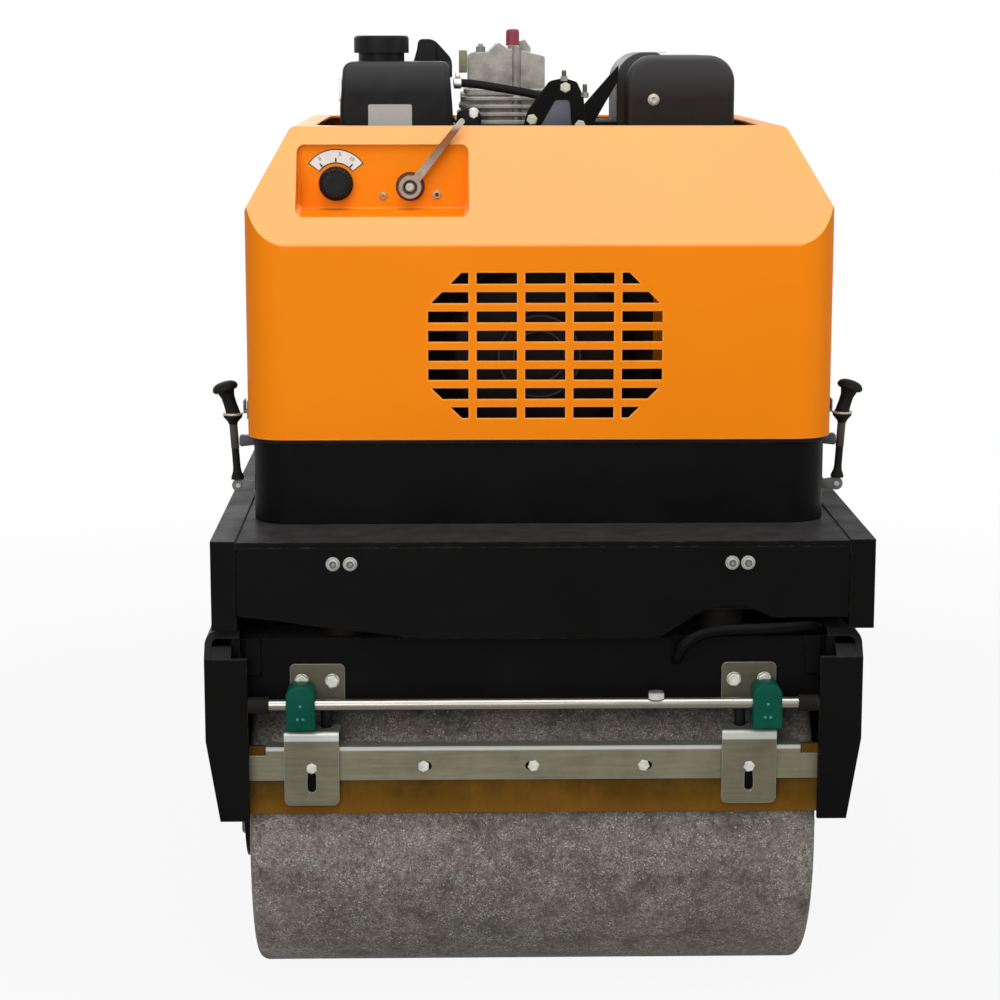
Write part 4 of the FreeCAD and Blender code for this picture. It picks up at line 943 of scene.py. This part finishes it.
class ROLLER_OT_panel_parts(bpy.types.Operator):
    """Screws on the sunk panel, the lever's nut and the ribbed speed knob"""

    bl_idname = "roller.panel_parts"
    bl_label = "Panel parts"

    def execute(self, context):
        size = settings("roller_fasteners").panel_screw
        left = place(pan_head(size, size * 0.6), (-0.1797, PANEL_FACE, 0.9284), FRONT)
        finish_piece(left, "panel_screw_left", "brass_plate", "hood")
        right = place(socket_head(size * 0.9, size * 0.5, 0.0003), (-0.1177, PANEL_FACE, 0.93), FRONT)
        finish_piece(right, "panel_screw_right", "brass_plate", "hood")
        recess = place(button(size * 0.45, 0.0004), (-0.1177, PANEL_FACE - size * 0.24, 0.93), FRONT)
        finish_piece(recess, "panel_screw_recess", "gap_shadow", "hood")
        self.knob()
        self.boss()
        return {"FINISHED"}

    def knob(self):
        centre = middle("speed_knob")
        skirt = (high("speed_knob").x - low("speed_knob").x) * 0.52
        top = PANEL_FACE - low("speed_knob").y - 0.0006
        body = skirt * 0.86
        profile = [(0, 0), (skirt, 0), (skirt, top * 0.16), (skirt * 0.97, top * 0.2), (body, top * 0.26)]
        profile += [(body * 0.97, top * 0.88), (body * 0.93, top * 0.96), (body * 0.84, top)]
        profile += [(body * 0.5, top * 0.985), (0, top * 0.98)]
        ribs = settings("roller_controls").knob_ribs
        turn = math.pi / ribs
        open_mesh(turned(profile, steps=ribs * 2))

        def on_rib(face):
            spot = face.calc_center_median()
            index = int((math.atan2(spot.y, spot.x) + math.pi) / turn)
            return index % 2 == 0 and spot.z > top * 0.27 and spot.xy.length > body * 0.85

        pick(on_rib)
        bpy.ops.mesh.extrude_region_shrink_fatten(TRANSFORM_OT_shrink_fatten={"value": 0.0014})
        knob = place(close_mesh(), (centre.x, PANEL_FACE - SKIN, centre.z), FRONT)
        finish_piece(knob, "ribbed_knob", "black_moulding", "hood")
        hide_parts("speed_knob")

    def boss(self):
        """Painted shadow in a thin gap round the lever's boss, painted shade on the rim and floor of its
        socket, and the bright bolt inside.
        """
        x, z = -0.1485, 0.9395
        face = low("throttle_lever").y
        floor = face + 0.0029
        gap = place(ring(0.0145, 0.0168, 0.0006), (x, PANEL_FACE - 0.0001, z), FRONT)
        finish_piece(gap, "lever_gap", "gap_shadow", "hood")
        # Painted shade: a dark ring on the socket's rim and a dark disc on its floor.
        rim = place(ring(0.007, 0.0087, 0.0003), (x, face + 0.0001, z), FRONT)
        well = place(button(0.0074, 0.0006), (x, floor, z), FRONT)
        finish_piece(joined([well, rim]), "lever_socket_shade", "grey_moulding", "hood")
        bolt = place(socket_head(0.0042, 0.0026, 0.0004), (x, floor - 0.0005, z), FRONT)
        finish_piece(bolt, "lever_bolt", "cream_plate", "hood")


class ROLLER_OT_latches(bpy.types.Operator):
    """The rubber pull latches: strap, collar, leaning pull knob, guide lug and anchor"""

    bl_idname = "roller.latches"
    bl_label = "Latches"

    def execute(self, context):
        for sign, side, _ in SIDES:
            self.rubber(sign, side)
            self.metal(sign, side)
        return {"FINISHED"}

    def spot(self, sign, side, x, z):
        """A place on the latch, x and z in millimetres from the machine's centre line and the ground."""
        return Vector((sign * x * MM, middle("latch_" + side).y, z * MM))

    def rubber(self, sign, side):
        def spot(x, z):
            return self.spot(sign, side, x, z)

        def between(piece, start, end):
            return place(piece, start, (end - start).normalized())

        lean = (spot(365.4, 702.5) - spot(356.8, 674.0)).normalized()
        cap = [(0, 0), (0.006, 0), (0.0132, 0.0006), (0.0152, 0.003), (0.015, 0.0056)]
        cap += [(0.013, 0.0086), (0.009, 0.0107), (0.004, 0.0116), (0, 0.0118)]
        knob = place(turned(cap, steps=36), spot(365.0, 701.8), lean)
        neck = [(0, 0), (0.0084, 0), (0.008, 0.006), (0.0076, 0.014), (0.0078, 0.022), (0.01, 0.029)]
        neck += [(0, 0.0292)]
        stem = place(turned(neck, steps=28), spot(356.8, 674.0), lean)
        cone = [(0, 0), (0.005, 0), (0.0062, 0.003), (0.011, 0.0085), (0.0112, 0.0115), (0, 0.0115)]
        collar = place(turned(cone, steps=36), spot(357.8, 663.0))
        foot, top = spot(353.4, 598.0), spot(357.6, 665.0)
        long = (top - foot).length
        rod = [(0, 0), (0.0078, 0), (0.0074, 0.003), (0.0052, 0.0085), (0.0045, 0.014)]
        rod += [(0.0043, long), (0, long)]
        strap = between(turned(rod, steps=24), foot, top)
        latch = joined([knob, stem, collar, strap])
        finish_piece(latch, "pull_latch_" + side, "black_rubber")
        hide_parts("latch_" + side)
        upper = [(0.0044, 0), (0.0048, 0.001), (0.0048, 0.029), (0.0044, 0.03), (0.0044, 0)]
        worn = between(turned(upper, steps=24), spot(355.6, 634.0), spot(357.5, 664.0))
        finish_piece(worn, "strap_top_" + side, "worn_rubber")

    def metal(self, sign, side):
        wall = high("base_tub").x - 0.0005
        washer = place(ring(0.0084, 0.0118, 0.0022), self.spot(sign, side, 357.8, 674.2))
        finish_piece(washer, "latch_ring_" + side, "cream_plate")
        lug = [(wall, 0.639), (0.3485, 0.637), (0.3505, 0.639)]
        lug += [(0.3505, 0.6485), (0.3485, 0.6505), (wall, 0.649)]
        self.slab(lug, 0.011, sign, side, "latch_guide_", "slate_moulding")
        tab = [(wall, 0.5865)] + arc(0.0078, -90, 90, 10, (0.3525, 0.5905)) + [(wall, 0.5945)]
        self.slab(tab, 0.0056, sign, side, "latch_anchor_", "pale_moulding")
        front = self.spot(sign, side, 352.5, 590.5) + FRONT * 0.0027
        bolt = place(hex_head(0.0062, 0.0026, 0.0005, reach=0.66), front, FRONT)
        finish_piece(bolt, "latch_bolt_" + side, "cream_plate")

    def slab(self, outline, depth, sign, side, name, finish):
        """An upright plate across the latch's middle, drawn in X and Z."""
        slab = plate([(sign * x, z) for x, z in outline][::sign], depth)
        upright(slab, (0, middle("latch_" + side).y + depth / 2, 0))
        finish_piece(soften(slab, 0.001), name + side, finish)


class ROLLER_OT_scraper_bolts(bpy.types.Operator):
    """Bolts of the scraper brackets and bars, and the spray pipes' sleeves and feed fittings"""

    bl_idname = "roller.scraper_bolts"
    bl_label = "Scraper bolts"

    def execute(self, context):
        size = settings("roller_fasteners").bracket_bolt
        for end, facing in ENDS:
            self.bolts(end, facing, size)
            self.sleeves(end)
            self.fitting(end)
            self.clamps(end, facing)
        return {"FINISHED"}

    def bolts(self, end, facing, size):
        bar = end_face("scraper_bar_" + end, facing)
        drop = end_face("scraper_bracket_%s_left" % end, facing)
        step = 0.012  # from the bracket's drop back to its ears
        ear_z, floor_z, slot_z, row_z, stud_z = 0.3927, 0.2785, 0.2946, 0.295, 0.3368
        ears = [(x + dx, ear_z) for x in (-0.2549, 0.2345) for dx in (-0.0172, 0.0172)]
        ears = spots_on(drop - facing.y * step, facing, ears)
        self.heads(size, size * 0.4, 0.0005, 0.6, ears, "bracket_bolts_" + end)
        slots = (-0.2615, 0.2345)
        # Painted shade: dark sheets in the bracket slots.
        spots = spots_on(bar - facing.y * 0.0001, facing, [(x, floor_z) for x in slots])
        self.slot_shade(plate(rounded(0.0046, 0.0115, 0.0044), 0.0003), spots, "slot_shade_sheets_" + end)
        spots = spots_on(drop - facing.y * SKIN, facing, [(x, slot_z) for x in slots])
        self.heads(size * 0.82, size * 0.34, 0.0008, 0.62, spots, "slot_bolts_" + end)
        centre = middle("drum_" + end).x
        row = spots_on(bar - facing.y * SKIN, facing, [(centre + dx, row_z) for dx in (-0.125, 0.0, 0.125)])
        self.heads(size * 0.86, size * 0.36, 0.001, 0.66, row, "bar_bolts_" + end)
        # Painted shade: a dark sheet beside each bar bolt, where its slot shows.
        shifts = zip(row, (0.0016, -0.0016, 0.0018))
        slot_shade = [(spot + RIGHT * shift + facing * 0.0003, facing) for (spot, facing), shift in shifts]
        self.slot_shade(plate(rounded(0.0078, 0.0046, 0.0044), 0.0003), slot_shade, "bar_slot_shade_" + end)
        bush = [(0, 0), (0.0058, 0), (0.0062, 0.001), (0.0062, 0.019), (0.0056, 0.02), (0, 0.02)]
        studs = spots_on(at(0, 456 * facing.y, 0).y, UP, [(centre + dx, stud_z) for dx in (-0.2355, 0.2355)])
        bushes = copies(turned(bush, steps=24), studs)
        finish_piece(bushes, "stud_bushes_" + end, "black_rubber")

    def heads(self, across, tall, washer, reach, spots, name):
        heads = copies(hex_head(across, tall, washer, reach=reach), spots)
        finish_piece(heads, name, "zinc_bolt_steel")

    def slot_shade(self, pattern, spots, name):
        """Dark sheets of painted shade in slots."""
        finish_piece(copies(pattern, spots, roll=0), name, "painted_recess_shade", smooth=0)

    def sleeves(self, end):
        """Rubber sleeves over the pipe's ends."""
        pipe = "spray_pipe_" + end
        thick = (high(pipe).z - low(pipe).z) / 2 + 0.0007
        centre = middle(pipe)
        out = 0.0003
        ends = ((low(pipe).x - out, RIGHT), (high(pipe).x + out, LEFT))
        spots = [(Vector((x, centre.y, centre.z)), facing) for x, facing in ends]
        long = 0.0235
        profile = [(0, 0), (thick - 0.0006, 0), (thick, 0.0006), (thick, long * 0.86)]
        profile += [(thick + 0.0005, long * 0.88), (thick + 0.0004, long), (0, long)]
        sleeves = copies(turned(profile, steps=28), spots)
        finish_piece(sleeves, "pipe_sleeves_" + end, "black_rubber")

    def fitting(self, end):
        """The flat nut, on a short neck, where the water comes into the pipe."""
        centre = middle("spray_pipe_" + end)
        spot = Vector((0.1275, centre.y, centre.z))
        neck = place(button(0.0066, 0.004, dome=0.2), spot + UP * 0.0066)
        finish_piece(neck, "fitting_neck_" + end, "black_rubber")
        nut = place(hex_head(0.0172, 0.0064, 0.0006, reach=0.52), spot + UP * 0.0094)
        finish_piece(nut, "fitting_nut_" + end, "plated_steel")

    def clamps(self, end, facing):
        """Moulded pipe clamps with rounded shoulders, and the small bosses on their faces."""
        shoulder = 0.013
        spots = []
        for side in ("left", "right"):
            node = "pipe_clamp_%s_%s" % (end, side)
            centre = middle(node)
            size = high(node) - low(node)
            half = size.x / 2
            back = high(node).y - (0.0 if facing is FRONT else 0.001)
            corner = (half - shoulder - SKIN, size.z - shoulder)
            outline = [(-half, 0), (half, 0)] + arc(shoulder, 4, 90, 9, corner)
            outline += arc(shoulder, 90, 176, 9, (-corner[0], corner[1]))
            body = upright(plate(outline, size.y - 0.001), (centre.x, back, low(node).z))
            soften(body, 0.0022, 3)
            finish_piece(body, "clamp_block_%s_%s" % (end, side), "green_moulding")
            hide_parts(node)
            bosses = [(centre.x + dx, z) for dx, z in ((-0.003, 0.3565), (0.003, 0.3565), (0.0, 0.3715))]
            spots += spots_on(end_face(node, facing) - facing.y * 0.0012, facing, bosses)
        bosses = copies(button(0.0017, 0.0009, dome=0.5, steps=14), spots)
        finish_piece(bosses, "clamp_bosses_" + end, "clamp_mark")


class ROLLER_OT_engine_parts(bpy.types.Operator):
    """Bolts, clamps and small trim of the engine"""

    bl_idname = "roller.engine_parts"
    bl_label = "Engine parts"

    def execute(self, context):
        self.bracket()
        self.cleaner()
        self.muffler()
        self.head()
        self.starter()
        return {"FINISHED"}

    def bracket(self):
        """Bolts, the slate panel, and the two stay bolts on the bracket's shoulders."""
        face = low("engine_bracket").y
        spots = spots_on(face + 0.0002, FRONT, [(0.036, 1.05), (-0.004, 1.012), (0.054, 1.005)])
        bolts = copies(hex_head(0.0118, 0.005, 0.0012, reach=0.62), spots)
        finish_piece(bolts, "engine_bracket_bolts", "cream_plate")
        outline = [(-0.0005, 0.9975), (0.0445, 0.9975), (0.042, 1.032)]
        outline += [(0.0385, 1.0368), (0.0265, 1.0375), (0.0195, 1.0335)]
        panel = upright(soften(plate(outline, 0.0022), 0.0009), (0, face + 0.0031, 0))
        finish_piece(panel, "engine_bracket_panel", "slate_moulding")
        rods = copies(stud(0.003, 0.0115), spots_on(face + 0.001, UP, [(0.0345, 1.059), (0.0595, 1.0425)]))
        finish_piece(rods, "stay_bolts", "dark_steel")
        nuts = spots_on(face + 0.001, UP, [(0.0345, 1.0605), (0.0595, 1.0415)])
        nuts = copies(hex_head(0.0082, 0.0042, 0.0006, reach=0.6), nuts)
        finish_piece(nuts, "stay_nuts", "tarnished_steel")
        ear = soften(plate(rounded(0.0085, 0.004, 0.003), 0.003), 0.0006)
        place(ear, (0.0555, face + 0.0045, 1.0378))
        finish_piece(ear, "stay_ear", "black_paint")

    def cleaner(self):
        near = low("air_cleaner")
        label = place(plate(rounded(0.0262, 0.018, 0.002), 0.0004), (-0.1742, near.y - 0.0002, 1.012), FRONT)
        finish_piece(label, "blank_label", "blank_label", smooth=0)
        clip = plate(rounded(0.006, 0.014, 0.002), 0.003, rim=0.001)
        place(clip, (near.x - 0.0022, middle("air_cleaner").y, 1.045), LEFT)
        finish_piece(clip, "cleaner_clip", "plated_steel")
        near_end = (HOSE_SPOT.x + 0.001, HOSE_SPOT.y, HOSE_SPOT.z)
        clamp = place(ring(0.0052, 0.0068, 0.009, steps=28), near_end, RIGHT)
        lug = soften(plate(rounded(0.0028, 0.004, 0.001), 0.006), 0.0006)
        place(lug, (HOSE_SPOT.x + 0.0055, HOSE_SPOT.y, HOSE_SPOT.z + 0.006))
        finish_piece(joined([clamp, lug]), "hose_clamp", "plated_steel")

    def muffler(self):
        """The screw on its face and a pale grey strip along the guard's rolled edge."""
        screw = place(socket_head(0.0056, 0.003, 0.0008), (0.143, low("muffler").y + 0.0002, 1.0353), FRONT)
        finish_piece(screw, "muffler_screw", "cream_plate")
        centre = (0.134, 1.057)
        outline = arc(0.0346, 158, 90, 12, centre) + [(0.16, 1.0916), (0.16, 1.0911)]
        strip = upright(plate(outline + arc(0.0341, 90, 158, 12, centre), 0.06), (0, at(0, -76, 0).y, 0))
        finish_piece(strip, "pale_guard_strip", "pale_guard_grey")

    def head(self):
        bar = soften(plate(rounded(0.005, 0.0136, 0.0012), 0.003), 0.0006)
        place(bar, (-0.0862, at(0, -105, 0).y, 1.0803), FRONT)
        finish_piece(bar, "lifting_lug", "olive_plate")
        block = soften(plate(rounded(0.015, 0.019, 0.0085), 0.0115), 0.0018)
        place(block, at(-79.5, -118.3, 1003), FRONT)
        finish_piece(block, "ignition_block", "black_moulding")
        bolt = place(hex_head(0.0118, 0.0044, 0.0012, reach=0.64), at(-73.5, -129.6, 1017.8), FRONT)
        finish_piece(bolt, "ignition_bolt", "plated_steel")
        rod = place(stud(0.0032, 0.018), at(-64.5, -90, 1084.0))
        nut = place(hex_head(0.0115, 0.0056, 0.001, reach=0.62), at(-64.5, -90, 1095.0))
        finish_piece(joined([rod, nut]), "head_bolt", "tarnished_steel")

    def starter(self):
        centre = middle("recoil_starter")
        spot = (centre.x, low("recoil_starter").y + 0.0001, centre.z)
        half = 0.0009
        rings = [place(ring(r - half, r + half, 0.001, steps=48), spot, FRONT) for r in (0.047, 0.0295)]
        finish_piece(joined(rings), "starter_rings", "grey_moulding")


class ROLLER_OT_rear_parts(bpy.types.Operator):
    """Handle pins, ribbed grips, console trim and the axle flanges' bolts"""

    bl_idname = "roller.rear_parts"
    bl_label = "Rear parts"

    def execute(self, context):
        self.grips()
        self.console()
        self.pins()
        self.flanges()
        return {"FINISHED"}

    def grips(self):
        rings = settings("roller_controls").grip_rings
        inside = 0.0152
        for sign, side, outward in SIDES:
            node = "handle_grip_" + side
            centre = middle(node)
            radius = (high(node).z - low(node).z) / 2
            long = high(node).x - low(node).x
            body = radius * 0.88
            pitch = (long - 0.016) / rings
            profile = [(inside, 0), (radius, 0), (radius, 0.004)]
            for i in range(rings):
                z = 0.006 + i * pitch
                profile += [(body, z), (body, z + pitch * 0.45)]
                profile += [(radius * 0.97, z + pitch * 0.6), (radius * 0.97, z + pitch * 0.9)]
            profile += [(body, long - 0.01), (radius * 0.92, long - 0.006), (radius * 0.8, long - 0.001)]
            profile += [(inside * 0.8, long), (0, long)]
            grip = turned(profile, steps=36)
            place(grip, (centre.x - sign * long / 2, centre.y, centre.z), outward)
            finish_piece(grip, "ribbed_grip_" + side, "black_rubber", "handle", smooth=40)
            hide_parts(node)

    def tilted(self, piece):
        """Swings a piece, placed as if the handle lay level, up to the handle's angle at rest."""
        pivot = at(*HANDLE_PIVOT)
        return swing(piece, pivot - Matrix.Rotation(REST_TILT, 3, "X") @ pivot, REST_TILT)

    def on_slope(self, x, share, z):
        """A place on the console's slope, by its share of the way up."""
        return at(x, 1234 + CONSOLE_RUN * share, z + CONSOLE_RISE * share)

    def console(self):
        """The seam of the console's two halves, its cover screws and the travel lever's rubber bellows."""
        seam = plate([(-0.1484, -0.0704), (0.1484, -0.0704), (0.1484, 0.0704), (-0.1484, 0.0704)], 0.0014)
        self.tilted(place(seam, at(0, 1304, 549)))
        finish_piece(seam, "console_seam", "black_rubber", "handle", smooth=0)
        slope = math.atan2(CONSOLE_RISE, CONSOLE_RUN)
        out = Vector((0, -math.sin(slope), math.cos(slope)))
        spots = [(self.on_slope(x, t, 574.1), out) for x in (-132, 132) for t in (0.16, 0.86)]
        screws = self.tilted(copies(pan_head(0.0052, 0.0028), spots))
        finish_piece(screws, "console_screws", "plated_steel", "handle")
        profile = [(0, 0), (0.0225, 0), (0.0225, 0.0025)]
        for i in range(4):
            wide = 0.0205 - 0.003 * i
            rise = 0.005 * i
            profile += [(wide - 0.003, 0.0045 + rise), (wide, 0.0068 + rise), (wide - 0.0006, 0.008 + rise)]
        profile += [(0.0062, 0.024), (0.0062, 0.027), (0, 0.027)]
        bellows = self.tilted(place(turned(profile), self.on_slope(60, 0.6, 574.2), out))
        finish_piece(bellows, "lever_bellows", "black_rubber", "handle", smooth=50)

    def pins(self):
        """Heads of the handle's pivot pins."""
        pivot_x, reach = 170, 38.9
        _, y, z = HANDLE_PIVOT
        for sign, side, outward in SIDES:
            inner, outer = at(sign * (pivot_x - reach), y, z), at(sign * (pivot_x + reach), y, z)
            spots = [(inner, -outward), (outer, outward)]
            heads = copies(button(0.0135, 0.0042, dome=0.4), spots)
            finish_piece(heads, "pivot_pin_" + side, "zinc_bolt_steel")

    def flanges(self):
        fasteners = settings("roller_fasteners")
        size = fasteners.flange_bolt
        bolt_circle = 0.052
        for node in ("axle_front", "axle_rear"):
            centre = middle(node)
            for sign, side, outward in SIDES:
                face = (low(node).x if sign < 0 else high(node).x) - sign * SKIN
                spots = []
                for i in range(fasteners.flange_count):
                    a = 2 * math.pi * (i + 0.5) / fasteners.flange_count
                    y, z = centre.y + bolt_circle * math.cos(a), centre.z + bolt_circle * math.sin(a)
                    spots.append((Vector((face, y, z)), outward))
                bolts = copies(hex_head(size, size * 0.45, 0.002), spots)
                finish_piece(bolts, "flange_bolts_%s_%s" % (node[5:], side), "dark_steel")


class ROLLER_OT_stage(bpy.types.Operator):
    """Floor, soft lamps, world and camera"""

    bl_idname = "roller.stage"
    bl_label = "Studio"

    def execute(self, context):
        studio = settings("roller_studio")
        self.floor()
        self.world(context.scene)
        self.lamps(studio.strength)
        self.camera(context.scene, studio)
        context.scene.view_settings.view_transform = "Standard"
        return {"FINISHED"}

    def mixed(self, owner, output, share, first, second):
        """Gives the owner two shaders, mixed by the share that the function works out."""
        tree, mix = own_tree(owner, output, "MixShader")
        for key, value in (("Fac", share(tree)), (1, add_node(tree, *first)), (2, add_node(tree, *second))):
            wire(tree, mix.inputs[key], value)

    def seen(self, tree):
        """1 for rays from the camera, in a reflection or through glass."""
        total = add_node(tree, "LightPath", "Is Camera Ray")
        for name in ("Is Glossy Ray", "Is Transmission Ray"):
            rays = {0: total, 1: add_node(tree, "LightPath", name)}
            total = add_node(tree, "Math", "Value", rays, operation="MAXIMUM")
        return total

    def faded(self, tree):
        """As seen(), but a little less near the object, so that its shadow shows."""
        spot = add_node(tree, "TexCoord", "Object")
        away = add_node(tree, "VectorMath", "Value", {0: spot}, operation="LENGTH")
        ends = {"Value": away, "From Min": 0.6, "From Max": 3.0, "To Min": 0.91, "To Max": 1.0}
        fade = add_node(tree, "MapRange", "Result", ends, interpolation_type="SMOOTHSTEP")
        return add_node(tree, "Math", "Value", {0: self.seen(tree), 1: fade}, operation="MULTIPLY")

    def floor(self):
        """Matt grey to the light, and near white, fading to white, to what sees it."""
        clear_selection()
        bpy.ops.mesh.primitive_plane_add(size=60, location=(0, 0, CAD_LOW.z - 0.0005))
        ground = bpy.context.object
        ground.name = "studio_floor"
        bpy.ops.object.transform_apply(location=True)
        material = bpy.data.materials.new("pale_floor")
        matt = ("BsdfDiffuse", "BSDF", {"Color": (0.42, 0.42, 0.42)})
        glow = ("Emission", "Emission", {"Color": (1, 1, 1)})
        self.mixed(material, "OutputMaterial", self.faded, matt, glow)
        ground.data.materials.append(material)

    def world(self, scene):
        scene.world = bpy.data.worlds.new("soft_white_world")
        soft = ("Background", "Background", {"Color": (1, 1, 1), "Strength": 0.33})
        white = ("Background", "Background", {"Color": (1, 1, 1), "Strength": 1.0})
        self.mixed(scene.world, "OutputWorld", self.seen, soft, white)

    def lamps(self, strength):
        for name, spot, aim, size, power in (
            ("top_softbox", (0.0, -1.8, 3.2), (0.0, -0.3, 0.6), 2.0, 50),
            ("front_softbox", (-1.2, -4.4, 1.7), (0.0, -0.4, 0.5), 2.4, 69),
            ("right_softbox", (3.2, -1.6, 1.6), (0.0, 0.0, 0.6), 1.8, 25),
            ("rear_softbox", (-1.0, 3.6, 2.6), (0.0, 0.2, 0.6), 2.2, 48),
        ):
            clear_selection()
            bpy.ops.object.light_add(type="AREA", location=spot)
            lamp = bpy.context.object
            lamp.name = name
            lamp.data.size = size
            lamp.data.energy = power * strength
            lamp.rotation_euler = (Vector(aim) - Vector(spot)).to_track_quat("-Z", "Y").to_euler()

    def camera(self, scene, studio):
        clear_selection()
        turn = (math.pi / 2 - studio.pitch, 0, -studio.yaw)
        bpy.ops.object.camera_add(location=studio.eye, rotation=turn)
        camera = bpy.context.object
        camera.name = "product_camera"
        camera.data.lens = studio.lens
        camera.data.sensor_width = 36
        camera.data.clip_start = 0.05
        camera.data.clip_end = 100
        scene.camera = camera


STEPS = (
    ROLLER_OT_finishes,
    ROLLER_OT_deck_bolts,
    ROLLER_OT_dial,
    ROLLER_OT_panel_parts,
    ROLLER_OT_seal,
    ROLLER_OT_latches,
    ROLLER_OT_scraper_bolts,
    ROLLER_OT_engine_parts,
    ROLLER_OT_rear_parts,
    ROLLER_OT_stage,
)
GROUPS = {
    "roller_finishes": RollerFinishes,
    "roller_fasteners": RollerFasteners,
    "roller_controls": RollerControls,
    "roller_studio": RollerStudio,
}


class ROLLER_PT_panel(bpy.types.Panel):
    """Sizes, colours and steps of the roller"""

    bl_label = "Roller"
    bl_idname = "ROLLER_PT_panel"
    bl_space_type = "VIEW_3D"
    bl_region_type = "UI"
    bl_category = "Roller"

    def draw(self, context):
        for name, group in GROUPS.items():
            box = self.layout.box()
            for field in group.__annotations__:
                box.prop(settings(name), field)
        for step in STEPS:
            self.layout.operator(step.bl_idname)


def register():
    for name, group in GROUPS.items():
        bpy.utils.register_class(group)
        setattr(bpy.types.Scene, name, PointerProperty(type=group))
    for step in STEPS:
        bpy.utils.register_class(step)
    bpy.utils.register_class(ROLLER_PT_panel)


def unregister():
    bpy.utils.unregister_class(ROLLER_PT_panel)
    for step in reversed(STEPS):
        bpy.utils.unregister_class(step)
    for name, group in GROUPS.items():
        delattr(bpy.types.Scene, name)
        bpy.utils.unregister_class(group)


def main():
    register()
    for step in STEPS:
        space, action = step.bl_idname.split(".")
        getattr(getattr(bpy.ops, space), action)()


if __name__ == "__main__":
    main()
